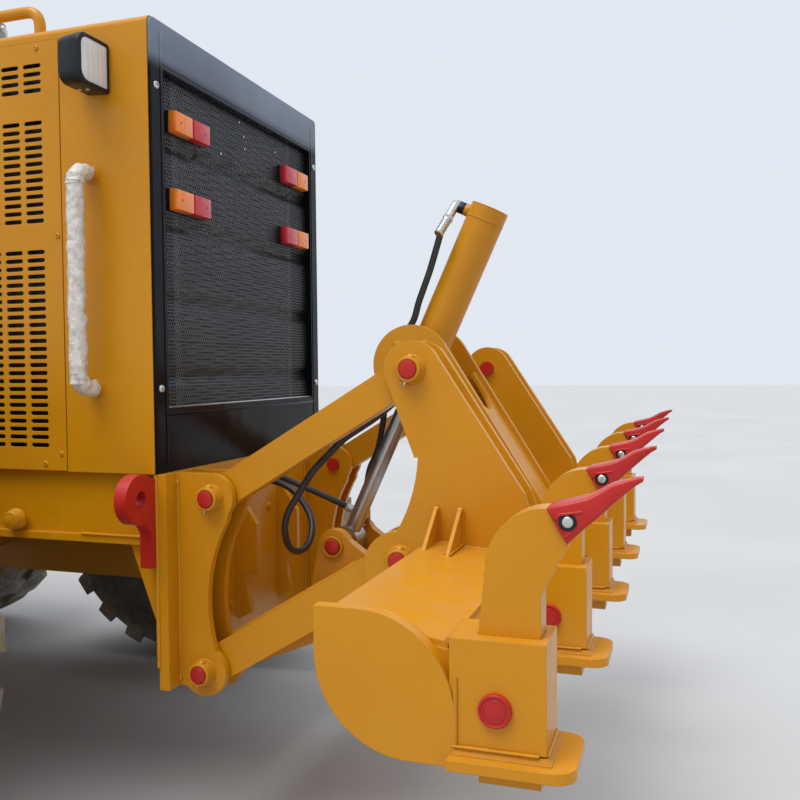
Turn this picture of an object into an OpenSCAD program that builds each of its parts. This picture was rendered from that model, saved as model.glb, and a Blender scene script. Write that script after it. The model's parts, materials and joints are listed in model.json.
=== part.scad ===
// Motor grader with a rear ripper, in millimetres.
// +X is forward, +Y is left and +Z is up. Lengths along X are counted from the rear face of the hood, and
// placed() then moves every sub-part so that the origin lies under the middle of the machine.

/* [Wheels] */
// Outside diameter of a tyre, over its lugs
tyre_d = 1350; // [1300:10:1400]
// Width of a tyre
tyre_w = 445; // [400:5:460]
// Height of the tread lugs
lug_h = 28; // [15:1:35]
// Lugs in each of a tyre's two rows
lug_count = 24; // [16:2:30]
// Diameter of the rim at the tyre's bead
rim_d = 635; // [600:5:660]
// Width over the outer faces of the tyres
track_w = 2600; // [2550:10:2640]
// Distance between the two wheels of a tandem
tandem_pitch = 1540; // [1500:10:1600]
// Middle of the tandems, forward of the hood's rear face
tandem_x = 1590; // [1560:10:1640]
// From the middle of the tandems to the front axle
wheelbase = 6200; // [6100:10:6300]

/* [Rear frame] */
// Half of the width over the frame rails
rail_y = 500; // [480:5:515]
// Width of a frame rail
rail_w = 80; // [60:5:100]
// Underside of the frame rails
rail_z = 830; // [830:5:850]
// Height of the frame rails
rail_h = 190; // [180:5:200]
// Articulation pin, forward of the hood's rear face
hitch_x = 3500; // [3480:10:3540]
// Diameter of the articulation pins
hitch_pin_d = 90; // [70:5:110]

/* [Hood] */
// Width of the hood
hood_w = 1050; // [1030:10:1080]
// Length of the hood
hood_l = 2330; // [2250:10:2360]
// Top of the hood above the ground
hood_top = 2205; // [2150:5:2260]
// Thickness of the hood's walls and doors
hood_wall = 25; // [15:1:35]
// Rear edge of the bolted side panel
panel_x = 272; // [265:1:280]
// Length of the side panel
panel_l = 950; // [930:10:1000]
// Gap at the side panel's seams
seam = 3; // [2:0.5:5]
// Length of a slot in the side panel
slot_l = 58; // [50:1:62]
// Height of a slot in the side panel
slot_h = 20; // [15:0.5:24]
// Distance between slots along the hood
slot_step_x = 73; // [70:1:78]
// Distance between rows of slots
slot_step_z = 44; // [40:0.5:44]
// Height of the black grille opening
grille_h = 890; // [860:5:900]
// Width of the black grille opening
grille_w = 930; // [900:5:940]

/* [Cab] */
// Rear wall of the cab, forward of the hood's rear face
cab_x = 2450; // [2440:5:2480]
// Length of the cab
cab_l = 1600; // [1560:10:1620]
// Half of the cab's width
cab_y = 700; // [690:5:730]
// Half of the width of the cab's front wall
cab_front_y = 430; // [400:5:450]
// Underside of the cab
cab_z = 1250; // [1240:5:1270]
// Height of the cab under its roof
cab_h = 1950; // [1900:10:2000]
// Thickness of the cab's walls
cab_wall = 60; // [50:1:70]
// Thickness of the glass
glass_t = 8; // [6:1:12]

/* [Ripper] */
// Pin at the top of the bracket, forward of the hood's rear face
pin_top_x = -132; // [-136:1:-128]
// Height of the pin at the top of the bracket
pin_top_z = 956; // [950:1:960]
// Offset forward from the top pin to the bottom pin
pin_step_x = 30; // [25:1:35]
// Drop from the top pin to the bottom pin
pin_step_z = 464; // [455:1:470]
// Length of the links between their pins
link_l = 645; // [635:1:655]
// Slope of the links at rest, above level
link_slope = 31; // [30:0.5:32]
// Diameter of the linkage pins
ripper_pin_d = 44; // [36:1:48]
// Outer face of the bracket's and the tower's outer plates
plate_y = 470; // [465:1:475]
// Thickness of the bracket's and the tower's plates
plate_t = 20; // [15:1:22]
// Width of a link between a pair of plates
link_w = 53; // [50:1:55]
// Width of the shank beam
beam_w = 2310; // [2290:5:2340]
// Side of the shank beam's square section
beam_s = 243; // [238:1:250]
// Distance between shanks
shank_pitch = 547.5; // [540:0.5:550]
// Thickness of a shank
shank_t = 56; // [50:1:60]

/* [Blade] */
// Length of the moldboard
blade_l = 3660; // [3600:10:3680]
// Height of the moldboard
blade_h = 610; // [600:5:620]
// Radius of the moldboard's curve
blade_r = 430; // [420:5:450]
// Thickness of the moldboard
blade_t = 20; // [16:1:25]
// Clearance under the cutting edge as parked
blade_z = 150; // [140:5:160]
// Outside radius of the turning circle
circle_r = 700; // [690:5:710]
// Width of the turning circle's ring
circle_w = 120; // [110:5:125]
// Middle of the turning circle, forward of the hood's rear face
circle_x = 5300; // [5290:10:5320]

/* [Clearances] */
// Radial clearance of a pin in its bore
pin_fit = 0.05; // [0.03:0.01:0.09]
// Gap between faces that run or slide on each other
run_gap = 0.3; // [0.2:0.05:0.5]
// Gap round doors and between moving plates
door_gap = 6; // [5:0.5:8]

/* [Hidden] */
$fn = 48;
PAINT = "#d0912a";
DARK = "#1b1c1e";
RED = "#a81f26";
STEEL = "#8f9396";
GLASS = "#9fb4bb";

wheel_z = tyre_d / 2;
wheel_y = (track_w - tyre_w) / 2;
rear_x = tandem_x - tandem_pitch / 2;
middle_x = tandem_x + tandem_pitch / 2;
front_x = tandem_x + wheelbase;
hood_z = rail_z + rail_h;
hub_in = 60;
hub_face_y = wheel_y - hub_in - run_gap;

link_dir = [-cos(link_slope), sin(link_slope)];
pin_a = [pin_top_x, pin_top_z];
pin_b = pin_a + [pin_step_x, -pin_step_z];
pin_c = pin_b + link_l * link_dir;
pin_d = pin_a + link_l * link_dir;
inner_plate_y = plate_y - plate_t - link_w - 2 * door_gap;
link_y = inner_plate_y + door_gap;
beam_top = 897;
beam_front = -727;
tip_point = [beam_front - 530, 1117];
push_plate_x = front_x + 830;
centre_x = (tip_point[0] + push_plate_x) / 2;

// Moves what is placed from the hood's rear face to the machine's own middle.
module placed() { translate([-centre_x, 0, 0]) children(); }

// The same again on the other side.
module both_sides() { children(); mirror([0, 1, 0]) children(); }

// An outline in X and Z, as a plate from y0 to y0 + t.
module side_plate(y0, t) { translate([0, y0 + t, 0]) rotate([90, 0, 0]) linear_extrude(t) children(); }

// An outline in Y and Z, as a plate from x0 to x0 + t.
module cross_plate(x0, t) { translate([x0, 0, 0]) rotate([90, 0, 90]) linear_extrude(t) children(); }

// A cylinder across the machine at p = [x, z], from y0 to y1.
module cyl_y(p, r, y0, y1) { translate([p[0], y1, p[1]]) rotate([90, 0, 0]) cylinder(r = r, h = y1 - y0); }

// A cylinder along the machine at q = [y, z], from x0 to x1.
module cyl_x(q, r, x0, x1) { translate([x0, q[0], q[1]]) rotate([0, 90, 0]) cylinder(r = r, h = x1 - x0); }

// A round bar between two points in space.
module round_bar(a, b, r) {
    d = b - a;
    translate(a) rotate([0, acos(d[2] / norm(d)), atan2(d[1], d[0])]) cylinder(r = r, h = norm(d));
}

// A bar outline with round ends between two points.
module bar_2d(p, q, r) {
    d = q - p;
    translate(p) circle(r);
    translate(q) circle(r);
    translate(p) rotate(atan2(d[1], d[0])) translate([0, -r]) square([norm(d), 2 * r]);
}

// A box between two corners.
module box(a, b) { translate(a) cube(b - a); }

// Wheels. Each is drawn round its own axle, which lies along Y, with its outer face at +Y.
tread_r = wheel_z - lug_h;
lug_pitch = 360 / lug_count;
rim_half = 178;
flange_h = 20;

module lug_ring(y0, y1, turn) {
    root_r = tread_r - 10;
    translate([0, y1, 0]) rotate([90, 0, 0]) linear_extrude(y1 - y0) difference() {
        polygon([for (i = [0:lug_count - 1], k = [0:3])
            let (a = -90 + turn + lug_pitch * (i + [0, 0, 0.5, 0.5][k]), r = [root_r, wheel_z, wheel_z, root_r][k])
            [r * cos(a), r * sin(a)]]);
        circle(root_r - 40);
    }
}

module tyre() {
    bead_r = rim_d / 2 + run_gap;
    bulge_r = rim_d / 2 + 130;
    half_w = tyre_w / 2;
    half = [[bead_r, rim_half - 22], [bead_r + 22, rim_half - 2], [bulge_r - 60, half_w - 8], [bulge_r, half_w],
        [bulge_r + 60, half_w - 3], [tread_r - 45, half_w - 14], [tread_r - 14, half_w - 34], [tread_r, half_w - 70]];
    rotate([90, 0, 0]) rotate_extrude($fn = 64) polygon(concat(half, [for (i = [len(half) - 1:-1:0]) [half[i][0],
        -half[i][1]]], [[bead_r + 60, -rim_half + 60], [bead_r + 60, rim_half - 60]]));
    lug_ring(12, half_w - 20, 0);
    lug_ring(20 - half_w, -12, lug_pitch / 2);
}

module rim() {
    r = rim_d / 2;
    t = 14;
    rotate([90, 0, 0]) mirror([0, 0, 1]) rotate_extrude($fn = 64) polygon([
        [0, -hub_in], [120, -hub_in], [120, 30], [175, 36], [r - 60, 66], [r - 34, 66], [r - t - 12, 30],
        [r - t - 12, -rim_half + 30], [r - t, -rim_half + 4], [r + flange_h, -rim_half - t + 4],
        [r + flange_h, -rim_half + 2], [r, -rim_half + 22], [r, rim_half - 22], [r + flange_h, rim_half - 2],
        [r + flange_h, rim_half + t - 4], [r - t, rim_half - 4], [r - t, 84], [r - 40, 84], [r - 70, 84],
        [180, 56], [128, 50], [110, 96], [90, 104], [0, 104]]);
}

// x, side: the six wheels by name
function wheel_at(name) = name == "rear" ? rear_x : name == "middle" ? middle_x : front_x;
module wheel_place(name, side) { placed() translate([wheel_at(name), side * wheel_y, wheel_z])
    mirror([0, side < 0 ? 1 : 0, 0]) children(); }
module tyre_at(name, side) { color(DARK) wheel_place(name, side) tyre(); }
module rim_at(name, side) { color(PAINT) wheel_place(name, side) rim(); }
module tyre_front_left() { tyre_at("front", 1); }
module tyre_front_right() { tyre_at("front", -1); }
module tyre_middle_left() { tyre_at("middle", 1); }
module tyre_middle_right() { tyre_at("middle", -1); }
module tyre_rear_left() { tyre_at("rear", 1); }
module tyre_rear_right() { tyre_at("rear", -1); }
module rim_front_left() { rim_at("front", 1); }
module rim_front_right() { rim_at("front", -1); }
module rim_middle_left() { rim_at("middle", 1); }
module rim_middle_right() { rim_at("middle", -1); }
module rim_rear_left() { rim_at("rear", 1); }
module rim_rear_right() { rim_at("rear", -1); }

// Rear frame. Two rails, a bulkhead under the cab and the two yoke plates of the articulation.
bulkhead_x = 2950;
bulkhead_l = 200;
yoke_t = 40;
tongue_z = 845;
tongue_h = 275;
tongue_r = 150;
yoke_low_z = tongue_z - 5 - yoke_t;
yoke_top_z = tongue_z + tongue_h + 5;

module yoke_plate(z) {
    translate([0, 0, z]) difference() {
        linear_extrude(yoke_t) {
            translate([hitch_x, 0]) circle(tongue_r + 20);
            polygon([[bulkhead_x, -rail_y], [bulkhead_x + bulkhead_l, -rail_y], [hitch_x + 60, -158],
                [hitch_x + 60, 158], [bulkhead_x + bulkhead_l, rail_y], [bulkhead_x, rail_y]]);
        }
        translate([hitch_x, 0, -1]) cylinder(r = hitch_pin_d / 2 + pin_fit, h = yoke_t + 2);
    }
}

module rear_frame() {
    color(PAINT) placed() {
        both_sides() {
            box([0, rail_y - rail_w, rail_z], [bulkhead_x, rail_y, hood_z]);
            box([30, rail_y - rail_w - 20, rail_z], [bulkhead_x, rail_y + 15, rail_z + 20]);
            side_plate(rail_y - 20, 20)
                polygon([[0, rail_z], [96, rail_z], [0, rail_z - 260]]);
            box([cab_x + 20, rail_y - rail_w, hood_z], [bulkhead_x, rail_y, cab_z]);
        }
        for (x = [330, 1000, 2250]) box([x, -rail_y, rail_z + 20], [x + 90, rail_y, rail_z + 120]);
        box([bulkhead_x, -rail_y, yoke_low_z], [bulkhead_x + bulkhead_l, rail_y, cab_z]);
        yoke_plate(yoke_low_z);
        yoke_plate(yoke_top_z);
    }
}

module hitch_pins() {
    color(STEEL) placed() for (z = [yoke_low_z - 5, yoke_top_z - 85]) {
        translate([hitch_x, 0, z]) cylinder(d = hitch_pin_d, h = yoke_t + 90);
    }
}

// Engine, gearbox and radiator under the hood, each as one plain block on the rails.
engine_x = 520;
radiator_x = 70;
module engine_block() {
    color(STEEL) placed() {
        box([engine_x, -320, rail_z + 130], [engine_x + 1150, 320, 1780]);
        for (x = [engine_x + 60, engine_x + 960]) box([x, -rail_y, hood_z], [x + 110, rail_y, hood_z + 60]);
        box([engine_x + 1150, -280, rail_z + 125], [engine_x + 1760, 280, 1500]);
        box([radiator_x, -grille_w / 2 + 20, hood_z], [radiator_x + 200, grille_w / 2 - 20, hood_top - 105]);
    }
}

// Rear axle and its two tandem cases.
case_in_y = rail_y + 80;
case_out_y = track_w / 2 - tyre_w - 55;
case_r = 235;
module rear_axle() {
    color(PAINT) placed() {
        cyl_y([tandem_x, wheel_z], 150, -case_in_y, case_in_y);
        cyl_y([tandem_x, wheel_z], 270, -170, 170);
        both_sides() box([tandem_x - 130, rail_y - rail_w, wheel_z], [tandem_x + 130, rail_y, rail_z]);
    }
}

module tandem_cases() {
    color(PAINT) placed() both_sides() {
        side_plate(case_in_y, case_out_y - case_in_y) bar_2d([rear_x, wheel_z], [middle_x, wheel_z], case_r);
        for (x = [rear_x, middle_x]) cyl_y([x, wheel_z], 165, case_out_y, hub_face_y);
    }
}

// Hood: a shell that is open below and at the rear, with a bolted, slotted panel in each side.
hood_y = hood_w / 2;
panel_top = hood_top - 30;
hood_edge_r = 18;
rebate_l = 44;
rebate_wall = 3;
module hood_profile(inset) {
    w = hood_y - inset;
    top = hood_top - inset;
    r = max(hood_edge_r - inset, 2);
    translate([-w, hood_z - 1]) square([2 * w, top - r - hood_z + 1]);
    translate([r - w, hood_z - 1]) square([2 * (w - r), top - hood_z + 1]);
    for (side = [-1, 1]) translate([side * (w - r), top - r]) circle(r, $fn = 24);
}

module hood_shell() {
    color(PAINT) placed() difference() {
        intersection() {
            cross_plate(0, hood_l) hood_profile(0);
            box([-1, -hood_y, hood_z], [hood_l + 1, hood_y, hood_top]);
        }
        cross_plate(-1, hood_l - hood_wall + 1) hood_profile(hood_wall);
        cross_plate(-1, rebate_l + 1) hood_profile(rebate_wall);
        box([panel_x, -hood_y - 1, hood_z - 1], [panel_x + panel_l, hood_y + 1, panel_top]);
        for (i = [0:5]) box([1420, -hood_y - 1, 1500 + 80 * i], [2120, hood_y + 1, 1530 + 80 * i]);
    }
}

// Rows of slots in the side panel: [height of the lowest row, rows].
slot_blocks = [[1095, 13], [1700, 7], [2050, 2]];
slot_x = 330;
slot_columns = 12;
module slot_2d() {
    r = slot_h / 2;
    translate([r, 0]) circle(r, $fn = 16);
    translate([slot_l - r, 0]) circle(r, $fn = 16);
    translate([r, -r]) square([slot_l - slot_h, slot_h]);
}

module hood_side_panels() {
    color(PAINT) placed() both_sides() side_plate(hood_y - hood_wall, hood_wall) difference() {
        translate([panel_x + seam, hood_z]) square([panel_l - 2 * seam, panel_top - hood_z - run_gap]);
        for (b = slot_blocks, row = [0:b[1] - 1], column = [0:slot_columns - 1])
            translate([slot_x + column * slot_step_x, b[0] + row * slot_step_z]) slot_2d();
    }
}

// Rear face: black frame, mesh panel, lamps.
frame_t = 48;
grille_z0 = 1190;
module grille_frame() {
    color(DARK) placed() cross_plate(-8, frame_t) difference() {
        intersection() {
            hood_profile(rebate_wall + 1);
            translate([-hood_y, hood_z]) square([hood_w, hood_top - hood_z]);
        }
        translate([-grille_w / 2, grille_z0]) square([grille_w, grille_h]);
    }
}

mesh_x = 14;
module grille_mesh() {
    color(DARK) placed() cross_plate(mesh_x, 6)
        translate([-grille_w / 2 + run_gap, grille_z0 + run_gap])
            square([grille_w - 2 * run_gap, grille_h - 2 * run_gap]);
}

lamp_y = 338;
module tail_lamps() {
    color(RED) placed() both_sides() for (z = [1750, 1957])
        box([mesh_x - 34, lamp_y - 90, z - 30], [mesh_x, lamp_y + 90, z + 30]);
}

// Work lamps: housings that taper away from a rounded lens that faces the rear.
lamp_x = 112;
lamp_z = 2102;
lamp_h = 156;
module work_lamps() {
    color(DARK) placed() both_sides() {
        intersection() {
            side_plate(hood_y, 122) polygon([[lamp_x, lamp_z - lamp_h / 2], [lamp_x, lamp_z + lamp_h / 2],
                [lamp_x + 60, lamp_z + lamp_h / 2 - 4], [lamp_x + 152, lamp_z + 52], [lamp_x + 152, lamp_z - 34],
                [lamp_x + 60, lamp_z - lamp_h / 2 + 4]]);
            cross_plate(lamp_x - 1, 160) {
                translate([hood_y, lamp_z - lamp_h / 2 + 22]) square([120, lamp_h - 44]);
                translate([hood_y, lamp_z - lamp_h / 2]) square([98, lamp_h]);
                for (z = [-1, 1]) translate([hood_y + 98, lamp_z + z * (lamp_h / 2 - 22)]) circle(22);
            }
        }
    }
}

// A bent handle in its own XY plane: two feet at y = 0 and x = 0 and x = l, its bar at y = reach.
module bent_handle(l, reach, bend, r) {
    for (x = [0, l]) translate([x, 0, 0]) rotate([-90, 0, 0]) cylinder(r = r, h = reach - bend);
    translate([bend, reach, 0]) rotate([0, 90, 0]) cylinder(r = r, h = l - 2 * bend);
    translate([bend, reach - bend, 0]) rotate([0, 0, 90]) rotate_extrude(angle = 90) translate([bend, 0]) circle(r);
    translate([l - bend, reach - bend, 0]) rotate_extrude(angle = 90) translate([bend, 0]) circle(r);
}

rail_r = 16;
handle_x = 175;
handle_z0 = 1246;
handle_z1 = 1808;
top_rail_x = 380;
top_rail_l = 700;
module hood_grab_rails() {
    color(PAINT) placed() both_sides() {
        translate([handle_x, hood_y, handle_z0]) rotate([0, -90, 0])
            bent_handle(handle_z1 - handle_z0, 70, 40, rail_r);
        translate([top_rail_x, hood_y - 60, hood_top]) rotate([90, 0, 0])
            bent_handle(top_rail_l, 80, 45, rail_r);
    }
}

module exhaust_stack() {
    color(STEEL) placed() {
        translate([1250, -260, hood_top]) cylinder(r = 75, h = 420);
        translate([1250, -260, hood_top + 420]) cylinder(r = 50, h = 320);
        translate([1950, 260, hood_top]) cylinder(r = 60, h = 180);
        translate([1950, 260, hood_top + 180]) cylinder(r = 130, h = 170);
    }
}

// Ripper bracket on the rear of the frame, with its red tow lugs.
bracket_t = 30;
bracket_z = 450;
boss_r = 31;
cap_r = 21;
boss_h = 28;
bracket_arc = 434;
bracket_waist_x = -119;
rib_y = 130;
rib_t = 20;

// A bracket plate: round lobes about both pins, and a waist cut by one large arc.
module bracket_plate_2d() {
    difference() {
        union() {
            translate([pin_a[0], bracket_z]) square([-bracket_t - pin_a[0], hood_z - bracket_z]);
            translate([pin_a[0], hood_z - 64]) circle(64);
            translate(pin_b) circle(66);
            polygon([pin_a + [-60, 20], pin_a + [0, 20], pin_b + [0, 0], pin_b + [-65, 10], pin_a + [-40, -100]]);
        }
        difference() {
            translate([bracket_waist_x - bracket_arc, (pin_a[1] + pin_b[1]) / 2 - 47]) circle(bracket_arc, $fn = 128);
            translate(pin_a) circle(64);
            translate(pin_b) circle(66);
        }
        translate(pin_a) circle(ripper_pin_d / 2 + pin_fit);
        translate(pin_b) circle(ripper_pin_d / 2 + pin_fit);
    }
}

module ripper_bracket() {
    color(PAINT) placed() {
        cross_plate(-bracket_t, bracket_t)
            translate([-hood_y + 5, bracket_z]) square([hood_w - 10, hood_z - bracket_z]);
        both_sides() for (y = [plate_y - plate_t, inner_plate_y - plate_t]) side_plate(y, plate_t) bracket_plate_2d();
        both_sides() for (p = [pin_a, pin_b]) difference() {
            cyl_y(p, boss_r, plate_y, plate_y + boss_h);
            cyl_y(p, ripper_pin_d / 2 + pin_fit, plate_y - 1, plate_y + boss_h + 1);
        }
        for (at = [loop_hose[0], straight_hose[0]])
            cyl_x([at[1], at[2]], 12, -bracket_t - fitting_l, -bracket_t + 1);
        both_sides() side_plate(rib_y, rib_t) polygon([[-bracket_t, 930], [-96, 830], [-96, 680], [-58, 680],
            [-58, 640], [-72, 560], [-bracket_t, 540]]);
        for (y = [-rail_y + 60, rail_y - 60]) side_plate(y - 10, 20)
            polygon([[0, rail_z], [70, rail_z], [0, bracket_z + 20]]);
    }
}

// A pin with its red cap, from the inner plate's inner face to beyond the boss.
module linkage_pin(p) {
    cyl_y(p, ripper_pin_d / 2, inner_plate_y - plate_t - 12, plate_y + boss_h + 4);
}
module bracket_pins() { color(RED) placed() both_sides() { linkage_pin(pin_a); linkage_pin(pin_b); } }
module carriage_pins() {
    color(RED) placed() {
        both_sides() {
            linkage_pin(pin_c);
            linkage_pin(pin_d);
        }
        cyl_y(pin_d, 14, inner_plate_y - plate_t - 40, inner_plate_y - plate_t - 11);
        for (y = shanks_y, side = [-1, 1])
            cyl_y(plug_at, plug_r, y + side * (socket_w / 2 + 4) - 4, y + side * (socket_w / 2 + 4) + 4);
    }
}

// Tow lugs: a round head with its hole, and a tail down the frame's side, joined by a round inner corner.
tow_hole_r = 22;
tow_t = 35;
tow_y = hood_y + 63;
tow_z = 963;
tow_head_r = 64;
tow_tail_y = rail_y + 15 + run_gap;
module tow_lugs() {
    color(RED) placed() both_sides() cross_plate(0, tow_t) difference() {
        union() {
            translate([tow_y, tow_z]) circle(tow_head_r, $fn = 64);
            translate([tow_tail_y, tow_z - 90]) square([tow_y - tow_tail_y, 90 + 46]);
            translate([tow_tail_y, 777]) square([30, tow_z - 777]);
        }
        translate([tow_tail_y + 30 + 45, tow_z - tow_head_r - 45]) circle(45, $fn = 64);
        translate([tow_tail_y + 30 + 45, tow_z - tow_head_r - 90]) square([100, 90]);
        translate([tow_y, tow_z]) circle(tow_hole_r);
    }
}

// Links: two plain upper arms and one wide lower arm that carries the rod's lugs.
link_r = 42;
rod_pin = pin_b + [-228, 278];
rod_pin_r = 25;
lug_y0 = 85;
lug_t = 35;
lug_r = 50;
eye_half = 40;
side_gap = 0.5;
module arm_bar(p, q, r) {
    side_plate(link_y, link_w) difference() {
        bar_2d(p, q, r);
        translate(p) circle(ripper_pin_d / 2 + pin_fit);
        translate(q) circle(ripper_pin_d / 2 + pin_fit);
    }
}

module ripper_upper_arms() { color(PAINT) placed() both_sides() arm_bar(pin_a, pin_d, link_r); }

arm_box_start = 80;
arm_box_end = 120;
arm_box_h = 100;
cover_t = 14;
// Corners of the lower arm's side, as [along the link from the bottom pin, above the line of the pins].
arm_side = [[arm_box_start, -46], [arm_box_start, 50 - cover_t], [link_l - arm_box_end - 20, 50 - cover_t],
    [link_l - arm_box_end, 20], [link_l - arm_box_end, -40], [400, -86], [330, -86]];
module ripper_lower_arm() {
    color(PAINT) placed() {
        both_sides() arm_bar(pin_b, pin_c, link_r + 6);
        translate([pin_b[0], 0, pin_b[1]]) rotate([0, 180 + link_slope, 0]) {
            mirror([0, 0, 1]) side_plate(-link_y - 1, 2 * link_y + 2) polygon(arm_side);
            mirror([0, 0, 1]) box([arm_box_start, -link_y - 8, 50 - cover_t],
                [link_l - arm_box_end, link_y + 8, 50]);
        }
        both_sides() side_plate(lug_y0, lug_t) {
            translate(rod_pin) circle(lug_r);
            polygon([rod_pin + lug_r * [cos(155), sin(155)], rod_pin + lug_r * [cos(28), sin(28)],
                pin_b + 175 * link_dir + [0, 30], pin_b + 420 * link_dir + [0, 20]]);
        }
        both_sides() cyl_y(rod_pin, rod_pin_r, eye_half + side_gap, lug_y0 + 1);
        both_sides() cyl_y(rod_pin, cap_r, lug_y0 + lug_t - 1, lug_y0 + lug_t + 8);
        box([rod_pin[0] - 37, -lug_y0 - 12, rod_pin[1] + 20], [rod_pin[0] - 7, -lug_y0, rod_pin[1] + 83]);
        box([rod_pin[0] - 37, -lug_y0, rod_pin[1] + 53], [rod_pin[0] - 7, 30 - lug_y0, rod_pin[1] + 83]);
    }
}

// Ripper carriage: two box towers, two centre plates for the cylinder's trunnion, and the shank beam.
trunnion = pin_c + [81, 477];
beam_rear = beam_front - beam_s;
beam_z = beam_top - beam_s;
tower_head_r = 70;
tower_foot = pin_c + [7, -21];
tower_foot_r = 90;
tower_arc = 398;
tower_arc_centre = pin_c + [352, 273];
rear_dir = [-0.544, -0.839];
rear_out = [-0.839, 0.544];

// A tower plate: a round head, a straight rear edge down to the beam, and a front edge cut by one arc.
module tower_plate_2d(inset) {
    head = pin_d + (tower_head_r - inset) * rear_out;
    difference() {
        union() {
            translate(pin_d) circle(tower_head_r - inset);
            translate(tower_foot) circle(tower_foot_r - inset);
            polygon([head, head + 395 * rear_dir, [beam_rear - 26 + inset, beam_top - 20],
                [beam_rear - 26 + inset, beam_z + 60], [beam_front, beam_z + 20], tower_foot + [0, inset - tower_foot_r],
                tower_foot + [60, -30], tower_foot + [20, 60], [-625 - inset, 870], [-690 - inset, 1078],
                pin_d + (tower_head_r - inset) * [cos(-15), sin(-15)]]);
        }
        difference() {
            translate(tower_arc_centre) circle(tower_arc + inset, $fn = 128);
            translate(tower_foot) circle(tower_foot_r - inset);
            translate([-1500, 1075]) square([1500, 1000]);
        }
    }
}

module tower_2d() {
    difference() {
        tower_plate_2d(0);
        translate(pin_d) circle(ripper_pin_d / 2 + pin_fit);
        translate(pin_c) circle(ripper_pin_d / 2 + pin_fit);
    }
}

// What closes a tower between its two plates, clear of the links at both pins.
module tower_fill_2d() {
    intersection() {
        tower_plate_2d(14);
        polygon([pin_d + [-180, -94], pin_d + [60, -125], [-600, 915], [-664, 908], [-740, 872], [-740, 700],
            [beam_rear, 700], [beam_rear, 950]]);
    }
}

centre_y = 100;
centre_lobe_r = 113;
centre_head = trunnion + centre_lobe_r * [cos(148.5), sin(148.5)];
centre_foot = [beam_rear + 10, beam_top];
module centre_plate_2d() {
    translate(trunnion) circle(centre_lobe_r);
    polygon([centre_head, centre_foot, [beam_front, beam_top - 40], pin_c + [-60, 0], pin_c + [-58, 170],
        pin_c + [-10, 330], trunnion + [98, -56]]);
}

// The strip between the centre plates' rear edges, with a round notch for the cylinder.
notch_r = 66;
module centre_strip() {
    run = centre_foot - centre_head;
    translate([centre_head[0], 0, centre_head[1]]) rotate([0, atan2(run[1], -run[0]) + 180, 0]) difference() {
        box([90, -centre_y - 1, 12], [norm(run) - 20, centre_y + 1, 24]);
        translate([150, 0, 0]) cylinder(r = notch_r, h = 40);
        box([0, -notch_r, 0], [150, notch_r, 40]);
    }
}

// The beam's end plate: a square with two round corners.
end_r = 166;
module corner_cut(front) {
    difference() {
        translate(front ? [0, -1] : [-1, 0]) square(end_r + 1);
        translate(front ? [0, end_r] : [end_r, 0]) circle(end_r, $fn = 96);
    }
}
module end_plate_2d() {
    difference() {
        translate([beam_rear, beam_z]) square([beam_s, beam_s]);
        translate([beam_rear, beam_top - end_r]) corner_cut(false);
        translate([beam_front - end_r, beam_z]) corner_cut(true);
    }
}

end_t = 25;
deck_t = 12;
gusset_x = [-752, -811];
module shank_beam() {
    inner = beam_w / 2 - end_t;
    both_sides() side_plate(inner, end_t) end_plate_2d();
    side_plate(-inner, 2 * inner)
        polygon([[beam_front - 10, beam_top - 30], [beam_rear + 16, beam_top - 62], [beam_rear + 8, beam_top - 80],
            [beam_rear + 8, beam_z + 8], [beam_front - end_r, beam_z + 8], [beam_front - 10, beam_z + end_r]]);
    side_plate(-inner, 2 * inner) intersection() {
        translate([beam_front - end_r, beam_z + end_r]) circle(end_r - 8, $fn = 96);
        translate([beam_front - end_r, beam_z]) square([end_r, end_r]);
    }
    side_plate(-inner + 4, 2 * inner - 8) polygon([[beam_front - 6, beam_top - 18 - deck_t],
        [beam_front - 6, beam_top - 18], [beam_rear + 18, beam_top - 50], [beam_rear + 18, beam_top - 50 - deck_t]]);
    both_sides() for (x = gusset_x) cross_plate(x, 9)
        polygon([[plate_y - 2, 850], [plate_y + 130, 850], [plate_y + 130, 868], [plate_y + 14, 955], [plate_y - 2, 955]]);
}

// Sockets on the beam's rear face: an open box for each shank, on a foot plate with round corners.
socket_l = 145;
socket_z = 688;
socket_h = 174;
socket_w = 112;
foot_z = 657;
foot_t = 18;
plug_r = 27;
plug_at = [beam_rear - 65, 753];
shanks_y = [for (i = [-2:2]) i * shank_pitch];
module socket() {
    difference() {
        union() {
            box([beam_rear - socket_l, -socket_w / 2, socket_z], [beam_rear + 10, socket_w / 2, socket_z + socket_h]);
            translate([0, 0, foot_z]) linear_extrude(foot_t) {
                translate([beam_rear - socket_l - 10, -socket_w / 2 - 26]) square([socket_l + 20, socket_w + 52]);
                translate([beam_rear - socket_l - 45, -socket_w / 2 + 10]) square([60, socket_w - 20]);
                for (side = [-1, 1]) translate([beam_rear - socket_l - 10, side * (socket_w / 2 - 10)]) circle(36);
            }
            for (t = [0, 1, 2]) box([beam_rear - socket_l - 9 + 3 * t, -socket_w / 2 - 9 + 3 * t, foot_z + foot_t - 1],
                [beam_rear + 5, socket_w / 2 + 9 - 3 * t, foot_z + foot_t + 4 + 3 * t]);
        }
        box([shank_front - shank_w - run_gap, -shank_t / 2, foot_z - 1],
            [shank_front + run_gap, shank_t / 2, socket_z + socket_h + 1]);
    }
}

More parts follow.
